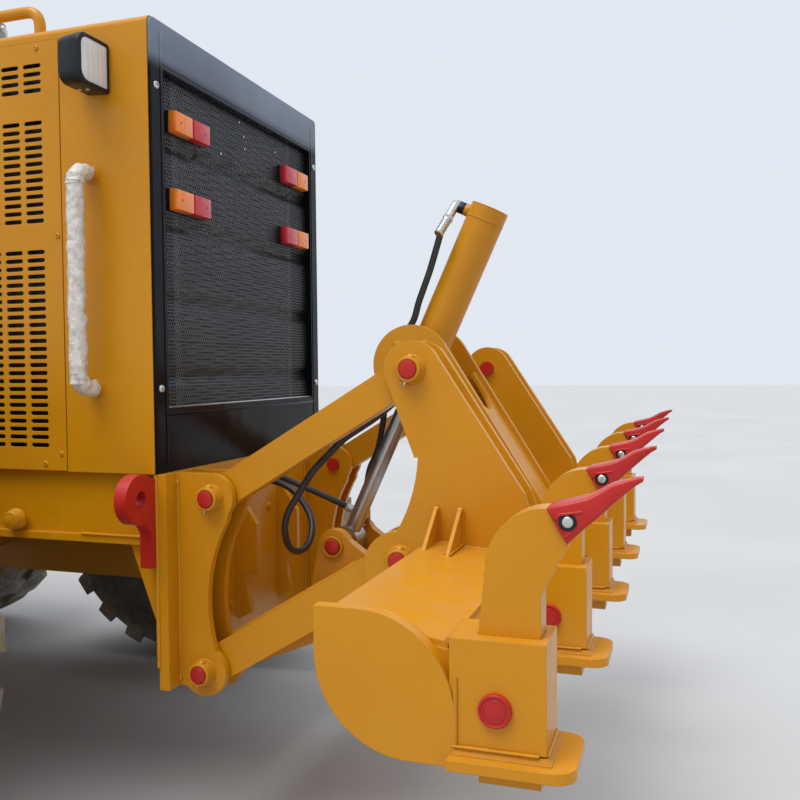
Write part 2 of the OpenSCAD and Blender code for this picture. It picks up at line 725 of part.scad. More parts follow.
module ripper_carriage() {
    color(PAINT) placed() {
        both_sides() for (y = [plate_y - plate_t, inner_plate_y - plate_t]) side_plate(y, plate_t) tower_2d();
        both_sides() side_plate(inner_plate_y - 1, plate_y - plate_t - inner_plate_y + 2) tower_fill_2d();
        both_sides() side_plate(centre_y, plate_t) centre_plate_2d();
        centre_strip();
        both_sides() for (p = [pin_c, pin_d]) difference() {
            cyl_y(p, boss_r, plate_y, plate_y + boss_h);
            cyl_y(p, ripper_pin_d / 2 + pin_fit, plate_y - 1, plate_y + boss_h + 1);
        }
        shank_beam();
        for (y = shanks_y) translate([0, y, 0]) socket();
    }
}

// Shanks stowed points up, with their tips.
shank_front = beam_rear - 31;
shank_w = 101;
shank_z = 620;
shank_lean = 12;
shank_nose = tip_point + [145, -47];
shank_heel = tip_point + [112, -102];
shank_arc = 99;
module shank_2d() {
    back = shank_front - shank_w;
    arc = [shank_front - shank_lean - shank_arc, shank_nose[1] - shank_arc];
    difference() {
        union() {
            intersection() {
                translate(arc) circle(shank_arc, $fn = 96);
                translate(arc) square(shank_arc);
            }
            polygon([[back, shank_z], [shank_front, shank_z], [shank_front, socket_z + socket_h],
                arc + [shank_arc, 0], arc, arc + [0, shank_arc], shank_nose, shank_heel, [back, arc[1] - 40]]);
        }
        translate([back - 303, 850]) circle(303, $fn = 128);
    }
}
module ripper_shanks() { color(PAINT) placed() for (y = shanks_y) side_plate(y - shank_t / 2 + run_gap,
    shank_t - 2 * run_gap) shank_2d(); }

// A tip: a pocket over the shank's nose, drawn down to a narrow chisel point.
tip_w = 68;
// Corners of the tip's side, from its point over the top to the nose, and back below.
tip_side = [[0, 4], [22, 0], [46, -7], [83, -28], [139, -42], [145, -47], [112, -102], [95, -83], [61, -53],
    [31, -27], [0, -3]];
module tip_side_2d() { translate(tip_point) polygon(tip_side); }
module tip_plan_2d() {
    w = tip_w / 2;
    translate([tip_point[0], 0]) polygon([[-1, -10], [-1, 10], [70, 26], [100, w], [170, w], [170, -w], [100, -w],
        [70, -26]]);
}
module ripper_tips() {
    color(RED) placed() for (y = shanks_y) translate([0, y, 0]) intersection() {
        side_plate(-tip_w / 2, tip_w) tip_side_2d();
        translate([0, 0, 900]) linear_extrude(400) tip_plan_2d();
    }
}

// Ripper lift cylinder. Its rod's eye lies between the lower arm's lugs.
cyl_dir = (trunnion - rod_pin) / norm(trunnion - rod_pin);
function xyz(p) = [p[0], 0, p[1]];
barrel_r = 55;
barrel_top = 488;
barrel_low = 110;
rod_r = 24;
port_dir = [cyl_dir[1], -cyl_dir[0]];
port_at = trunnion + (barrel_top - 27) * cyl_dir;
port_reach = 90;
// Where the hose from the lower arm ends, under its fitting on the barrel's top port.
top_hose_end = [-661, 50, 1709];
module ripper_barrel() {
    top = trunnion + barrel_top * cyl_dir;
    low = trunnion - barrel_low * cyl_dir;
    elbow = xyz(port_at + port_reach * port_dir) + [6, 8, 4];
    fitting = (elbow - top_hose_end) / norm(elbow - top_hose_end);
    color(PAINT) placed() {
        difference() {
            round_bar(xyz(low), xyz(top), barrel_r);
            round_bar(xyz(low - 2 * cyl_dir), xyz(top - 30 * cyl_dir), rod_r + 5);
        }
        difference() {
            round_bar(xyz(low), xyz(low + 12 * cyl_dir), barrel_r - 4);
            round_bar(xyz(low - 2 * cyl_dir), xyz(low + 14 * cyl_dir), rod_r + pin_fit);
        }
        difference() {
            cyl_y(trunnion, 66, -100 + side_gap, 100 - side_gap);
            round_bar(xyz(low - 2 * cyl_dir), xyz(top), barrel_r - 3);
        }
        round_bar(xyz(port_at + (barrel_r - 8) * port_dir), xyz(port_at + port_reach * port_dir), 13);
        translate(elbow) sphere(13, $fn = 24);
        round_bar(top_hose_end + 2 * fitting, elbow, 11);
    }
}

module ripper_rod() {
    color(STEEL) placed() {
        round_bar(xyz(rod_pin), xyz(trunnion + 60 * cyl_dir), rod_r);
        cyl_y(rod_pin, 44, -eye_half, eye_half);
    }
}

// Hoses: two from fittings on the bracket's wall, and one from the lower arm to the barrel's top port.
hose_r = 8;
hose_sides = 8;
fitting_l = 12;
hose_gap = 1.5;
loop_hose = [[-bracket_t - fitting_l - hose_gap, 100, 955], [-90, 100, 957], [-150, 103, 950], [-202, 110, 927],
    [-236, 120, 895], [-267, 137, 857], [-282, 165, 816], [-283, 205, 785], [-274, 250, 779], [-270, 295, 805],
    [-274, 325, 857], [-291, 335, 906], [-321, 335, 954], [-364, 335, 1017], [-415, 337, 1068], [-458, 340, 1107],
    [-506, 340, 1138], [-546, 340, 1164], [-600, 337, 1207], [-673, 336, 1278]];
straight_hose = [[-bracket_t - fitting_l - hose_gap, 18, 975], [-62, 17, 973], [-90, 9, 963], [-130, -4, 944],
    [-180, -19, 921], [-230, -33, 898], [-280, -48, 873], [-331, -65, 846]];
lift_hose = [[-352, -66, 856], [-358, -66, 875], [-370, -56, 925], [-386, -45, 983], [-416, -30, 1038],
    [-443, 0, 1110], [-460, 30, 1164], [-460, 45, 1225], [-472, 55, 1285], [-495, 60, 1340], [-530, 60, 1385],
    [-563, 60, 1427], [-580, 60, 1480], [-596, 60, 1522], [-615, 60, 1572], [-636, 66, 1632], [-654, 65, 1690],
    top_hose_end];
function unit(v) = v / norm(v);
function heading(route, i) = unit(route[min(i + 1, len(route) - 1)] - route[max(i - 1, 0)]);
function across(route, i) = let (n = i == 0 ? [0.1, 0.2, 1] : across(route, i - 1), t = heading(route, i))
    unit(n - (n * t) * t);

// A tube of flat-sided rings along a route, closed at both ends.
module hose(route) {
    n = hose_sides;
    last = (len(route) - 1) * n;
    points = [for (i = [0:len(route) - 1]) let (a = across(route, i), b = cross(heading(route, i), a))
        for (k = [0:n - 1]) route[i] + hose_r * (cos(360 * k / n) * a + sin(360 * k / n) * b)];
    polyhedron(points, concat([[for (k = [0:n - 1]) k]], [[for (k = [n - 1:-1:0]) last + k]],
        [for (i = [0:len(route) - 2], k = [0:n - 1]) let (j = (k + 1) % n)
            [i * n + j, i * n + k, (i + 1) * n + k, (i + 1) * n + j]]));
}

module wall_hoses() {
    color(DARK) placed() {
        hose(loop_hose);
        hose(straight_hose);
    }
}
module cylinder_hose() { color(DARK) placed() hose(lift_hose); }

// Cab: a hollow shell with six window openings and a door on each side.
cab_front = cab_x + cab_l;
cab_corner = cab_front - 350;
cab_top = cab_z + cab_h;
door_x0 = cab_x + 500;
door_x1 = cab_front - 410;
cab_door_z0 = cab_z + 40;
cab_door_z1 = cab_top - 80;
glass_z0 = cab_z + 700;
corner_dir = [cab_front - cab_corner, cab_front_y - cab_y] / norm([cab_front - cab_corner, cab_front_y - cab_y]);
corner_out = [-corner_dir[1], corner_dir[0]];
corner_reach = corner_out * [cab_corner, cab_y];

// The cab's outline in plan, moved inward by inset.
module cab_plan(inset) {
    y = cab_y - inset;
    x = cab_front - inset;
    reach = corner_reach - inset;
    xc = (reach - corner_out[1] * y) / corner_out[0];
    yc = (reach - corner_out[0] * x) / corner_out[1];
    polygon([[cab_x + inset, -y], [xc, -y], [x, -yc], [x, yc], [xc, y], [cab_x + inset, y]]);
}

// A pane or an opening in the left corner wall, t thick, from in to in + t inside its outer face.
corner_l = norm([cab_front - cab_corner, cab_front_y - cab_y]);
module corner_block(inset, t, edge, z0, z1) {
    translate([cab_corner, cab_y, 0]) rotate([0, 0, atan2(corner_dir[1], corner_dir[0])])
        box([edge, -inset - t, z0], [corner_l - edge, -inset, z1]);
}

window_edge = 60;
module cab_frame() {
    color(PAINT) placed() {
        difference() {
            translate([0, 0, cab_z]) linear_extrude(cab_h) cab_plan(0);
            translate([0, 0, cab_z + 40]) linear_extrude(cab_h - 100) cab_plan(cab_wall);
            box([cab_x - 1, 90 - cab_y, glass_z0], [cab_x + cab_wall + 1, cab_y - 90, cab_top - 130]);
            box([cab_front - cab_wall - 1, 50 - cab_front_y, cab_z + 90],
                [cab_front + 1, cab_front_y - 50, cab_top - 130]);
            box([cab_x + 90, -cab_y - 1, glass_z0], [door_x0 - 70, cab_y + 1, cab_top - 130]);
            box([door_x0, -cab_y - 1, cab_door_z0], [door_x1, cab_y + 1, cab_door_z1]);
            both_sides() corner_block(-1, cab_wall + 2, window_edge, cab_z + 90, cab_top - 130);
        }
        translate([0, 0, cab_top]) linear_extrude(90) cab_plan(-40);
        translate([0, 0, cab_top + 90]) linear_extrude(30) cab_plan(40);
        both_sides() for (z = [cab_door_z0 + 220, cab_door_z1 - 320]) {
            translate([cab_hinge[0], cab_hinge[1], z - knuckle_h - run_gap])
                cylinder(r = knuckle_r, h = knuckle_h);
            box([cab_hinge[0] - 60, cab_y, z - knuckle_h - run_gap],
                [cab_hinge[0], cab_y + 14, z - run_gap]);
        }
    }
}

knuckle_r = 13;
knuckle_h = 70;
cab_hinge = [door_x0 + door_gap, cab_y + 14];
door_t = cab_wall - 10;
pane_edge = 65;
module cab_door() {
    placed() {
        difference() {
            box([door_x0 + door_gap, cab_y - door_t, cab_door_z0 + door_gap],
                [door_x1 - door_gap, cab_y, cab_door_z1 - door_gap]);
            box([door_x0 + door_gap + pane_edge, cab_y - door_t - 1, cab_door_z0 + pane_edge + 250],
                [door_x1 - door_gap - pane_edge, cab_y + 1, cab_door_z1 - pane_edge - 20]);
        }
        for (z = [cab_door_z0 + 220, cab_door_z1 - 320]) {
            translate([cab_hinge[0], cab_hinge[1], z]) cylinder(r = knuckle_r, h = knuckle_h);
            box([cab_hinge[0], cab_y, z], [cab_hinge[0] + 50, cab_y + 14, z + knuckle_h]);
        }
    }
}
module cab_door_left() { color(PAINT) cab_door(); }
module cab_door_right() { color(PAINT) mirror([0, 1, 0]) cab_door(); }

module door_glass() {
    g = run_gap;
    placed() box([door_x0 + door_gap + pane_edge + g, cab_y - 30, cab_door_z0 + pane_edge + 250 + g],
        [door_x1 - door_gap - pane_edge - g, cab_y - 30 + glass_t, cab_door_z1 - pane_edge - 20 - g]);
}
module door_glass_left() { color(GLASS, 0.4) door_glass(); }
module door_glass_right() { color(GLASS, 0.4) mirror([0, 1, 0]) door_glass(); }

module cab_glass() {
    g = run_gap;
    zt = cab_top - 130 - g;
    color(GLASS, 0.4) placed() {
        box([cab_x + 30, 90 - cab_y + g, glass_z0 + g], [cab_x + 30 + glass_t, cab_y - 90 - g, zt]);
        box([cab_front - 30 - glass_t, 50 - cab_front_y + g, cab_z + 90 + g],
            [cab_front - 30, cab_front_y - 50 - g, zt]);
        both_sides() box([cab_x + 90 + g, cab_y - 30 - glass_t, glass_z0 + g],
            [door_x0 - 70 - g, cab_y - 30, zt]);
        both_sides() corner_block(30, glass_t, window_edge + g, cab_z + 90 + g, zt);
    }
}

floor_z = cab_z + 40;
module operator_seat() {
    color(DARK) placed() {
        translate([cab_x + 620, 0, floor_z]) cylinder(r = 150, h = 260);
        box([cab_x + 380, -240, floor_z + 260], [cab_x + 880, 240, floor_z + 400]);
        translate([cab_x + 380, 0, floor_z + 400]) rotate([0, -10, 0]) box([0, -230, -40], [120, 230, 620]);
    }
}

module steering_console() {
    color(DARK) placed() {
        side_plate(-110, 220) polygon([[cab_front - 450, floor_z], [cab_front - 270, floor_z],
            [cab_front - 400, floor_z + 760], [cab_front - 500, floor_z + 720]]);
        translate([cab_front - 465, 0, floor_z + 750]) rotate([0, -25, 0]) {
            translate([0, 0, -60]) cylinder(r = 30, h = 158);
            translate([0, 0, 90]) rotate_extrude() translate([180, 0]) circle(16);
            for (a = [0, 120, 240]) rotate([0, 0, a]) translate([0, -12, 84]) cube([172, 24, 10]);
        }
    }
}

step_x = [bulkhead_x + 160, bulkhead_x + 610];
step_y = track_w / 2 - 420;
hanger_y = cab_y - 75;
// Treads: [height, distance of the outer edge inward from the lowest tread's, depth].
treads = [[450, 0, 200], [720, 100, 150], [1000, 185, 60]];
module side_steps() {
    color(DARK) placed() both_sides() {
        for (x = step_x) cross_plate(x, 20)
            polygon([[hanger_y, cab_z], [cab_y - 10, cab_z], [step_y, 500], [step_y, 420], [step_y - 110, 420],
                [step_y - 110, 500], [hanger_y, 900]]);
        for (t = treads)
            box([step_x[0], step_y - 10 - t[1] - t[2], t[0]], [step_x[1] + 20, step_y - 10 - t[1], t[0] + 30]);
    }
}

// Front frame: the tongue in the yoke, a gooseneck over the circle, and the nose over the front axle.
beam_half = 130;
ball = [7360, 930];
ball_r = 60;
nose_z = 930;
axle_lug_x = [front_x - 150, front_x + 110];
lift_x = circle_x + 200;
lift_y = 440;
lift_z = 1750;
module front_frame() {
    color(PAINT) placed() {
        difference() {
            union() {
                translate([hitch_x, 0, tongue_z]) cylinder(r = tongue_r, h = tongue_h);
                side_plate(-beam_half, 2 * beam_half) polygon([[hitch_x, tongue_z], [4400, tongue_z], [4710, 1600],
                    [7120, 1480], [7420, 1120], [7420, nose_z], [push_plate_x - 120, nose_z],
                    [push_plate_x - 120, 1180], [7950, 1240], [7330, 1800], [4570, 1930],
                    [4230, tongue_z + tongue_h], [hitch_x, tongue_z + tongue_h]]);
            }
            translate([hitch_x, 0, tongue_z - 1]) cylinder(r = hitch_pin_d / 2 + pin_fit, h = tongue_h + 2);
        }
        for (x = axle_lug_x) difference() {
            cross_plate(x, 40) {
                translate([-110, wheel_z + 90]) square([220, nose_z - wheel_z - 90]);
                translate([0, wheel_z + 90]) circle(110);
            }
            cyl_x([0, wheel_z + 90], 45 + pin_fit, x - 1, x + 41);
        }
        cyl_x([0, wheel_z + 90], 45, axle_lug_x[0] - 10, axle_lug_x[1] + 50);
        box([ball[0] + 60, -90, ball[1] - 80], [ball[0] + 150, 90, nose_z + 40]);
        translate([ball[0], 0, ball[1]]) sphere(ball_r);
        cyl_x([0, ball[1]], 32, ball[0], ball[0] + 95);
        cross_plate(push_plate_x - 120, 120) difference() {
            translate([-400, 760]) square([800, 420]);
            for (y = [-300, 300], z = [840, 1100]) translate([y, z]) circle(13);
        }
        lift_saddle();
    }
}

trunnion_gap = 58;
module lift_saddle() {
    both_sides() {
        box([lift_x - 70, beam_half, lift_z - 110], [lift_x + 70, lift_y - trunnion_gap - 8, lift_z + 60]);
        for (y = [lift_y - trunnion_gap - 8, lift_y + trunnion_gap])
            box([lift_x - 80, y, lift_z - 70], [lift_x + 80, y + 8, lift_z + 70]);
        box([lift_x + 72, lift_y - trunnion_gap - 8, lift_z - 50], [lift_x + 80, lift_y + trunnion_gap + 8, lift_z + 50]);
    }
}

// Front axle, knuckles and tie rod.
kingpin_y = wheel_y - 287.5;
kingpin_r = 32;
ear_t = 45;
knuckle_half = 85;
knuckle_body_r = 68;
spindle_r = 62;
ear_low_z = wheel_z - knuckle_half - ear_t - run_gap;
arm_back = 210;
arm_w = 66;
arm_t = 35;
arm_eye_r = 45;
arm_z = ear_low_z - run_gap - arm_t;
tie_pin_r = 18;
module front_axle() {
    color(PAINT) placed() {
        difference() {
            union() {
                cross_plate(front_x - 90, 180) polygon([[90 - kingpin_y, 560], [-250, 660], [250, 660],
                    [kingpin_y - 90, 560], [kingpin_y - 70, 780], [250, 860], [-250, 860], [70 - kingpin_y, 780]]);
                cyl_x([0, wheel_z + 90], 105, axle_lug_x[0] + 40 + run_gap, axle_lug_x[1] - run_gap);
            }
            cyl_x([0, wheel_z + 90], 45 + pin_fit, front_x - 200, front_x + 200);
        }
        both_sides() for (z = [ear_low_z, wheel_z + knuckle_half + run_gap])
            translate([0, 0, z]) difference() {
                linear_extrude(ear_t) {
                    translate([front_x, kingpin_y]) circle(70);
                    translate([front_x - 70, kingpin_y - 100]) square([140, 100]);
                }
                translate([front_x, kingpin_y, -1]) cylinder(r = kingpin_r + pin_fit, h = ear_t + 2);
            }
    }
}

// A knuckle turns on its kingpin, between the axle's ears, and carries the steering arm below them.
module knuckle() {
    placed() {
        translate([0, 0, wheel_z - knuckle_half]) linear_extrude(2 * knuckle_half) {
            translate([front_x, kingpin_y]) circle(knuckle_body_r);
            translate([front_x - knuckle_body_r, kingpin_y]) square([2 * knuckle_body_r, knuckle_body_r + 12]);
        }
        translate([front_x, kingpin_y, arm_z])
            cylinder(r = kingpin_r, h = wheel_z + knuckle_half + ear_t + run_gap - arm_z);
        cyl_y([front_x, wheel_z], spindle_r, kingpin_y + knuckle_body_r, hub_face_y);
        translate([front_x, kingpin_y, arm_z]) linear_extrude(arm_t) difference() {
            union() {
                circle(arm_eye_r + 10);
                translate([-arm_back, -arm_w / 2]) square([arm_back, arm_w]);
                translate([-arm_back, 0]) circle(arm_eye_r);
            }
            translate([-arm_back, 0]) circle(tie_pin_r + pin_fit);
        }
    }
}
module knuckle_left() { color(PAINT) knuckle(); }
module knuckle_right() { color(PAINT) mirror([0, 1, 0]) knuckle(); }

module tie_rod() {
    end_h = 45;
    color(STEEL) placed() {
        both_sides() translate([front_x - arm_back, kingpin_y, arm_z]) {
            translate([0, 0, -end_h]) cylinder(r = 38, h = end_h - run_gap);
            translate([0, 0, -10]) cylinder(r = tie_pin_r, h = arm_t + 25);
        }
        cyl_y([front_x - arm_back, arm_z - 22], 18, -kingpin_y, kingpin_y);
    }
}

// Drawbar: an A-frame from the ball in the nose to the shoes on the turning circle.
bar_z = 905;
bar_h = 100;
circle_t = 90;
circle_z = bar_z - 10 - circle_t;
lift_eye_z = 1080;
lift_eye_x = circle_x + 50;
lift_lug_t = 25;
lift_eye_half = 30;
bar_y = lift_y + lift_eye_half + side_gap + lift_lug_t + 4;
module drawbar() {
    color(PAINT) placed() {
        difference() {
            cyl_y(ball, ball_r + 34, -75, 75);
            translate([ball[0], 0, ball[1]]) sphere(ball_r + run_gap);
            box([ball[0] + 12, -150, ball[1] - 150], [ball[0] + 150, 150, ball[1] + 150]);
        }
        translate([0, 0, bar_z]) linear_extrude(bar_h) difference() {
            polygon([[ball[0] - 70, -60], [circle_x + 250, -bar_y], [circle_x - 500, -bar_y], [circle_x - 500, bar_y],
                [circle_x + 250, bar_y], [ball[0] - 70, 60]]);
            polygon([[ball[0] - 330, 0], [circle_x + 480, -280], [circle_x + 480, 280]]);
            polygon([[circle_x + 350, -320], [circle_x + 350, 320], [circle_x - 380, 320], [circle_x - 380, -320]]);
        }
        for (x = [circle_x - 460, circle_x + 460], y = [-300, 300])
            translate([x, y, circle_z + circle_t + run_gap]) cylinder(r = 55, h = 10 - run_gap);
        both_sides() for (y = [lift_y - lift_eye_half - side_gap - lift_lug_t, lift_y + lift_eye_half + side_gap])
            side_plate(y, lift_lug_t) {
                translate([lift_eye_x, lift_eye_z]) circle(48);
                translate([lift_eye_x - 48, bar_z + bar_h - 5]) square([96, lift_eye_z - bar_z - bar_h + 5]);
            }
    }
}

module circle_ring() {
    color(PAINT) placed() {
        translate([circle_x, 0, circle_z]) difference() {
            cylinder(r = circle_r, h = circle_t, $fn = 96);
            translate([0, 0, -1]) cylinder(r = circle_r - circle_w, h = circle_t + 2, $fn = 96);
        }
        both_sides() side_plate(600, 40) difference() {
            polygon([[circle_x - 270, circle_z + 20], [circle_x + 270, circle_z + 20], [circle_x + 265, circle_z - 10],
                [rail_rod_x[1] + 60, rail_rod_z[1] + 60], [rail_rod_x[0] + 60, rail_rod_z[0] - 60],
                [rail_rod_x[0] - 60, rail_rod_z[0] - 60], [circle_x - 200, 560], [circle_x - 270, circle_z - 30]]);
            for (i = [0, 1]) translate([rail_rod_x[i], rail_rod_z[i]]) circle(rail_rod_r + pin_fit);
        }
    }
}

// Moldboard: a curved blade with two slide rods behind it, and its cutting edges.
blade_mid_z = blade_z + 10 + blade_h / 2;
blade_back_x = circle_x + 110;
blade_centre = [blade_back_x + blade_r, blade_mid_z];
blade_half_angle = asin(blade_h / 2 / blade_r);
rail_rod_r = 32;
rail_rod_x = [blade_back_x - 70, blade_back_x - 60];
rail_rod_z = [blade_mid_z - 130, blade_mid_z + 150];
rod_half = 1250;
module blade_arc(r0, r1) {
    far = blade_r * 2;
    intersection() {
        difference() {
            circle(r1, $fn = 96);
            circle(r0, $fn = 96);
        }
        polygon([[0, 0], [-far * cos(blade_half_angle), far * sin(blade_half_angle)], [-far, 0],
            [-far * cos(blade_half_angle), -far * sin(blade_half_angle)]]);
    }
}

module moldboard() {
    color(PAINT) placed() {
        translate([blade_centre[0], 0, blade_centre[1]])
            side_plate(-blade_l / 2, blade_l) blade_arc(blade_r - blade_t, blade_r);
        for (i = [0, 1]) cyl_y([rail_rod_x[i], rail_rod_z[i]], rail_rod_r, -rod_half, rod_half);
        both_sides() side_plate(rod_half - 40, 40) difference() {
            polygon([[rail_rod_x[0] - 55, rail_rod_z[0] - 55], [rail_rod_x[1] - 55, rail_rod_z[1] + 55],
                [blade_back_x + 120, rail_rod_z[1] + 55], [blade_back_x + 120, rail_rod_z[0] - 55]]);
            translate(blade_centre) circle(blade_r - 1, $fn = 96);
        }
    }
}

edge_t = 20;
edge_arc = 22;
module cutting_edges() {
    seat_r = blade_r - blade_t - run_gap;
    low = asin((blade_mid_z - blade_z) / seat_r);
    far = 2 * blade_r;
    color(STEEL) placed() translate([blade_centre[0], 0, blade_centre[1]])
        side_plate(-blade_l / 2, blade_l) intersection() {
            difference() {
                circle(seat_r, $fn = 96);
                circle(seat_r - edge_t, $fn = 96);
            }
            polygon([[0, 0], far * [-cos(low - edge_arc), -sin(low - edge_arc)], far * [-cos(low), -sin(low)]]);
        }
}

// Blade lift cylinders: a trunnion barrel on the gooseneck and a rod to the drawbar, each side.
lift_top = [lift_x, lift_z];
lift_eye = [lift_eye_x, lift_eye_z];
lift_dir = (lift_top - lift_eye) / norm(lift_top - lift_eye);
lift_barrel_r = 50;
lift_rod_r = 28;
module slanted(p, q, r) { round_bar([p[0], lift_y, p[1]], [q[0], lift_y, q[1]], r); }
module lift_barrel() {
    low = lift_top - 200 * lift_dir;
    top = lift_top + 560 * lift_dir;
    placed() {
        difference() {
            slanted(low, top, lift_barrel_r);
            slanted(low - 2 * lift_dir, top - 30 * lift_dir, lift_rod_r + 6);
        }
        difference() {
            slanted(low, low + 14 * lift_dir, lift_barrel_r - 4);
            slanted(low - 2 * lift_dir, low + 16 * lift_dir, lift_rod_r + pin_fit);
        }
        difference() {
            cyl_y(lift_top, 56, lift_y - trunnion_gap + side_gap, lift_y + trunnion_gap - side_gap);
            slanted(low, top, lift_barrel_r - 3);
        }
    }
}
module lift_rod() {
    placed() {
        slanted(lift_eye, lift_top + 290 * lift_dir, lift_rod_r);
        cyl_y(lift_eye, 46, lift_y - lift_eye_half, lift_y + lift_eye_half);
    }
}
module lift_barrel_left() { color(PAINT) lift_barrel(); }
module lift_barrel_right() { color(PAINT) mirror([0, 1, 0]) lift_barrel(); }
module lift_rod_left() { color(STEEL) lift_rod(); }
module lift_rod_right() { color(STEEL) mirror([0, 1, 0]) lift_rod(); }

// The sub-parts, one at a time or all together.
rear_frame();
engine_block();
rear_axle();
tandem_cases();
hood_shell();
grille_frame();
grille_mesh();
tail_lamps();
work_lamps();
hood_grab_rails();
exhaust_stack();
tow_lugs();
ripper_bracket();
bracket_pins();
hitch_pins();
cab_frame();
cab_glass();
operator_seat();
steering_console();
side_steps();
hood_side_panels();
cab_door_left();
cab_door_right();
door_glass_left();
door_glass_right();
ripper_lower_arm();
ripper_upper_arms();
ripper_carriage();
carriage_pins();
ripper_shanks();
ripper_tips();
ripper_barrel();
ripper_rod();
wall_hoses();
cylinder_hose();
front_frame();
front_axle();
knuckle_left();
knuckle_right();
tie_rod();
drawbar();
circle_ring();
moldboard();
cutting_edges();
lift_barrel_left();
lift_barrel_right();
lift_rod_left();
lift_rod_right();
tyre_front_left();
tyre_front_right();
tyre_middle_left();
tyre_middle_right();
tyre_rear_left();
tyre_rear_right();
rim_front_left();
rim_front_right();
rim_middle_left();
rim_middle_right();
rim_rear_left();
rim_rear_right();
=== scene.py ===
"""Looks of the motor grader: materials, tyres, grilles, lamps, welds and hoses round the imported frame."""
import json
import math
from contextlib import contextmanager

import bmesh
import bpy
from mathutils import Matrix, Vector, noise


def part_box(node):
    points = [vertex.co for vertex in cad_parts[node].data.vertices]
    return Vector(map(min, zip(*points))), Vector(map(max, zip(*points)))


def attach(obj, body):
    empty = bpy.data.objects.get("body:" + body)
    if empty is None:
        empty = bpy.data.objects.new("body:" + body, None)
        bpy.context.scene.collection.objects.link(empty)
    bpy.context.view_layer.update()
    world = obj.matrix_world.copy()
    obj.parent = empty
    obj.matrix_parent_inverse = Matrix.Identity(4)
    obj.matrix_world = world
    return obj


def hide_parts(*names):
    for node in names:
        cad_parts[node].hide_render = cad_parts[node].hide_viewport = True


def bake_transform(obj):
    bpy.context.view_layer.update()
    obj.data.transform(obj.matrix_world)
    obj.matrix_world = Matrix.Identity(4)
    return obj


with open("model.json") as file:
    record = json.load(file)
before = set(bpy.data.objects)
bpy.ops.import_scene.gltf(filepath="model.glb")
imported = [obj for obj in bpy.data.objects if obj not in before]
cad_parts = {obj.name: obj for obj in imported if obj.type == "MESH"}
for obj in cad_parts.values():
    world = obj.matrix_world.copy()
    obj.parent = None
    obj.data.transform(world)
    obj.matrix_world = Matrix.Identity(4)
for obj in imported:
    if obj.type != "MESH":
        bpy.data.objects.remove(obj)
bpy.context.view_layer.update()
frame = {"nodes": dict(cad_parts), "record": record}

# Places are in metres from the hood's rear face, the ground and the machine's middle.
HOOD_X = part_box("hood_shell")[0][0]
SIDES = (1, -1)
NAMED_SIDES = ((1, "left"), (-1, "right"))
X, Y, Z = Vector((1, 0, 0)), Vector((0, 1, 0)), Vector((0, 0, 1))
BACK = (-1, 0, 0)
UP = (0, 0, 1)
FLAT = None
SMOOTH = 0.0
SHARP_ANGLE = math.radians(40)
BEVEL_ANGLE = math.radians(35)


def at(x, y, z):
    """A point given from the hood's rear face, in the frame's own coordinates."""
    return Vector((x + HOOD_X, y, z))


# Pieces. The builders below add to a bmesh, and piece() turns it into an object that rides on a body.
def linked(name, data):
    """A new object in the scene."""
    obj = bpy.data.objects.new(name, data)
    bpy.context.scene.collection.objects.link(obj)
    return obj


def dress(obj, body, material, replaces=()):
    """Gives the object its material and rides it on its body, unless body is none."""
    obj.data.materials.append(MATERIALS[material]())
    if body:
        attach(obj, body)
    if replaces:
        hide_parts(*replaces)
    return obj


def piece(bm, name, body, material, edge=SMOOTH, replaces=(), slot=None, place=None):
    """Makes the object; edge is the width of its rounded edges, SMOOTH for none or FLAT for plain facets."""
    mesh = bpy.data.meshes.new(name)
    bmesh.ops.recalc_face_normals(bm, faces=bm.faces)
    bm.to_mesh(mesh)
    bm.free()
    obj = linked(name, mesh)
    if place is not None:
        obj.location = place
    if edge:
        soften(mesh, edge)
    if edge is not FLAT:
        mesh.shade_smooth()
        mesh.set_sharp_from_angle(angle=SHARP_ANGLE)
    return dress(obj, body, material, replaces)


@contextmanager
def parts(*looks):
    """Meshes to add to, one for each look, made into pieces in that order when the block ends."""
    meshes = [bmesh.new() for _ in looks]
    yield meshes
    for bm, look in zip(meshes, looks):
        piece(bm, *look)


@contextmanager
def part(*look):
    """One mesh to add to, made into a piece when the block ends."""
    with parts(look) as (bm,):
        yield bm


def soften(mesh, width):
    """Rounds the sharp edges by a bevel, applied to the mesh."""
    bm = bmesh.new()
    bm.from_mesh(mesh)
    bmesh.ops.remove_doubles(bm, verts=bm.verts, dist=1e-6)
    sharp = [e for e in bm.edges if len(e.link_faces) == 2 and e.calc_face_angle() > BEVEL_ANGLE]
    bmesh.ops.bevel(bm, geom=sharp, offset=width, segments=2, affect="EDGES", profile=0.5, clamp_overlap=True)
    bm.to_mesh(mesh)
    bm.free()


# Forms.
def skin(bm, rings, around=False):
    """Faces over rings of as many points each, with closed ends unless the rings go all the way around."""
    rings = [[bm.verts.new(p) for p in ring] for ring in rings]
    for low, high in zip(rings, rings[1:] + rings[:1] if around else rings[1:]):
        for k in range(len(low)):
            j = (k + 1) % len(low)
            bm.faces.new((low[k], low[j], high[j], high[k]))
    if not around:
        bm.faces.new(rings[0])
        bm.faces.new(rings[-1])


def prism(bm, outline, low, high, axis="y"):
    """A plate: its outline in the two other axes, from low to high along the named axis."""
    places = {"y": lambda a, b, c: (a, c, b), "z": lambda a, b, c: (a, b, c)}
    skin(bm, [[places[axis](a, b, c) for a, b in outline] for c in (low, high)])


def block(bm, low, high):
    """A box between two corners, given in any order."""
    (x0, x1), (y0, y1), (z0, z1) = (sorted(pair) for pair in zip(low, high))
    prism(bm, [(x0, z0), (x1, z0), (x1, z1), (x0, z1)], y0, y1)


def angles(count):
    """Angles of a full turn in equal steps."""
    return [2 * math.pi * k / count for k in range(count)]


